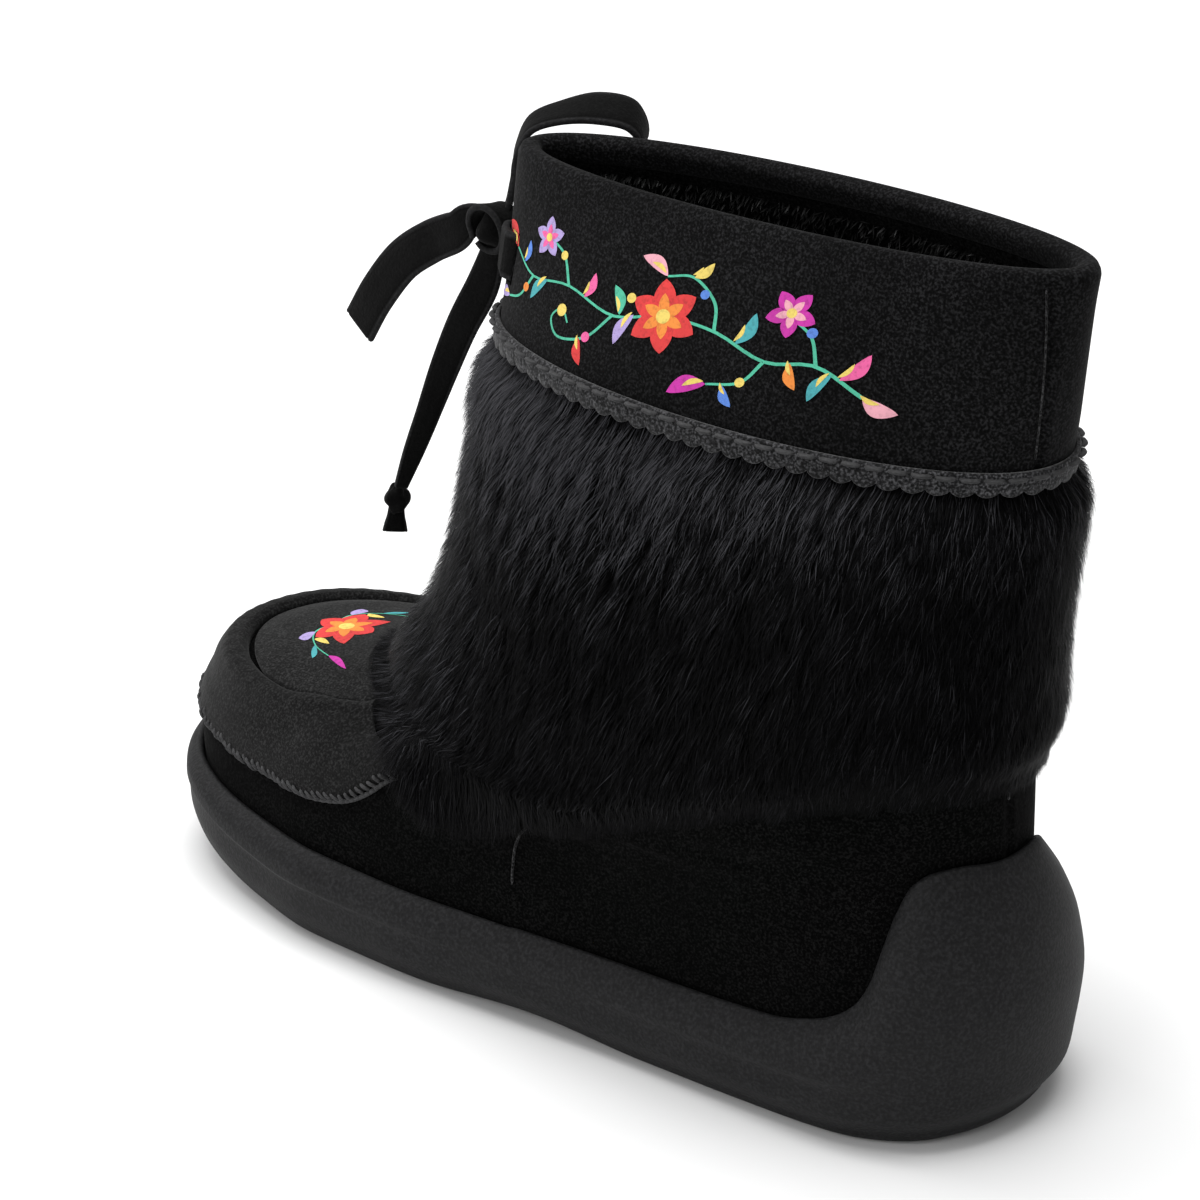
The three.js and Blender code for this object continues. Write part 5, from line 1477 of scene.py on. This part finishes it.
class BootLooks(bpy.types.PropertyGroup):
    fur_count: bpy.props.IntProperty(
        name="Hairs", description="How many hairs the fur band has", default=150000, min=1000)
    sole_color: shade("Sole", "Colour of the rubber", (0.0078, 0.0078, 0.0083))
    suede_color: shade("Suede", "Colour of the upper", (0.0015, 0.0015, 0.0015))
    vamp_color: shade("Vamp", "Colour of the vamp and the toe plug", (0.0042, 0.0042, 0.0042))
    cuff_color: shade("Cuff", "Colour of the cuff", (0.0034, 0.0034, 0.0036))
    trim_color: shade("Trim", "Colour of the scalloped trim", (0.018, 0.018, 0.019))
    thread_color: shade("Thread", "Colour of the stitches", (0.022, 0.022, 0.023))
    fur_root: shade("Fur root", "Colour of the fur at its root", (0.0007, 0.0007, 0.0008))
    fur_tip: shade("Fur tip", "Colour of the fur at its tip", (0.0027, 0.0027, 0.003))
    lining_color: shade("Lining", "Colour of the plush lining", (0.022, 0.022, 0.022))
    lace_color: shade("Lace", "Colour of the lace", (0.0032, 0.0032, 0.0032))
    # Painted highlight: the lace's lighter edge colour stands for light caught by its folded edges
    lace_edge_highlight: shade("Lace edge", "Colour of the lace's rubbed edges", (0.014, 0.014, 0.0145))
    floor_color: shade("Floor", "Colour of the studio floor", (0.86, 0.86, 0.86))


class BOOT_OT_stage(bpy.types.Operator):
    """Set the floor, the lights and the camera"""

    bl_idname = "boot.stage"
    bl_label = "Stage"

    def execute(self, context):
        make_stage(tuple(context.scene.boot_looks.floor_color))
        return {"FINISHED"}


class BOOT_OT_lace(bpy.types.Operator):
    """Tie the lace: bar, knot, loops and ends"""

    bl_idname = "boot.lace"
    bl_label = "Lace"

    def execute(self, context):
        looks = context.scene.boot_looks
        make_lace(tuple(looks.lace_color), tuple(looks.lace_edge_highlight))
        return {"FINISHED"}


class BOOT_OT_sole(bpy.types.Operator):
    """Mould the cup sole and finish the foot bed"""

    bl_idname = "boot.sole"
    bl_label = "Sole"

    def execute(self, context):
        make_sole(tuple(context.scene.boot_looks.sole_color))
        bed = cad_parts["insole"]
        bed.data.materials.clear()
        bed.data.materials.append(plush_material("felt_foot_bed", (0.01, 0.01, 0.01)))
        return {"FINISHED"}


class BOOT_OT_upper(bpy.types.Operator):
    """Close the suede upper and line it with plush"""

    bl_idname = "boot.upper"
    bl_label = "Upper"

    def execute(self, context):
        looks = context.scene.boot_looks
        make_upper(tuple(looks.suede_color))
        make_seams(tuple(looks.thread_color))
        make_lining_pile(np.random.default_rng(5), tuple(looks.lining_color))
        return {"FINISHED"}


class BOOT_OT_toe(bpy.types.Operator):
    """Set the puckered vamp and the toe plug"""

    bl_idname = "boot.toe"
    bl_label = "Vamp and plug"

    def execute(self, context):
        looks = context.scene.boot_looks
        make_vamp(tuple(looks.vamp_color), tuple(looks.thread_color))
        make_plug(tuple(looks.vamp_color))
        return {"FINISHED"}


class BOOT_OT_fur(bpy.types.Operator):
    """Comb the fur band down over the ankle"""

    bl_idname = "boot.fur"
    bl_label = "Fur band"

    def execute(self, context):
        looks = context.scene.boot_looks
        make_fur(np.random.default_rng(3), looks.fur_count, tuple(looks.fur_root), tuple(looks.fur_tip))
        return {"FINISHED"}


class BOOT_OT_cuff(bpy.types.Operator):
    """Wrap the cuff and stitch its scalloped trim"""

    bl_idname = "boot.cuff"
    bl_label = "Cuff and trim"

    def execute(self, context):
        looks = context.scene.boot_looks
        make_cuff(tuple(looks.cuff_color))
        make_trim(tuple(looks.trim_color), tuple(looks.thread_color))
        return {"FINISHED"}


class BOOT_OT_prints(bpy.types.Operator):
    """Print the floral pattern on the cuff and the toe plug"""

    bl_idname = "boot.prints"
    bl_label = "Prints"

    def execute(self, context):
        make_prints()
        return {"FINISHED"}


class BOOT_PT_panel(bpy.types.Panel):
    bl_idname = "BOOT_PT_panel"
    bl_label = "Mukluk"
    bl_space_type = "VIEW_3D"
    bl_region_type = "UI"
    bl_category = "Mukluk"

    def draw(self, context):
        looks = context.scene.boot_looks
        for name in BootLooks.__annotations__:
            self.layout.prop(looks, name)
        for operator in OPERATORS:
            self.layout.operator(operator.bl_idname)


OPERATORS = (BOOT_OT_stage, BOOT_OT_lace, BOOT_OT_sole, BOOT_OT_upper, BOOT_OT_toe, BOOT_OT_fur, BOOT_OT_cuff,
             BOOT_OT_prints)
CLASSES = (BootLooks, *OPERATORS, BOOT_PT_panel)


def register():
    for cls in CLASSES:
        bpy.utils.register_class(cls)
    bpy.types.Scene.boot_looks = bpy.props.PointerProperty(type=BootLooks)


def unregister():
    del bpy.types.Scene.boot_looks
    for cls in reversed(CLASSES):
        bpy.utils.unregister_class(cls)


def main():
    register()
    bpy.ops.boot.stage()
    bpy.ops.boot.lace()
    bpy.ops.boot.sole()
    bpy.ops.boot.upper()
    bpy.ops.boot.toe()
    bpy.ops.boot.fur()
    bpy.ops.boot.cuff()
    bpy.ops.boot.prints()


if __name__ == "__main__":
    main()
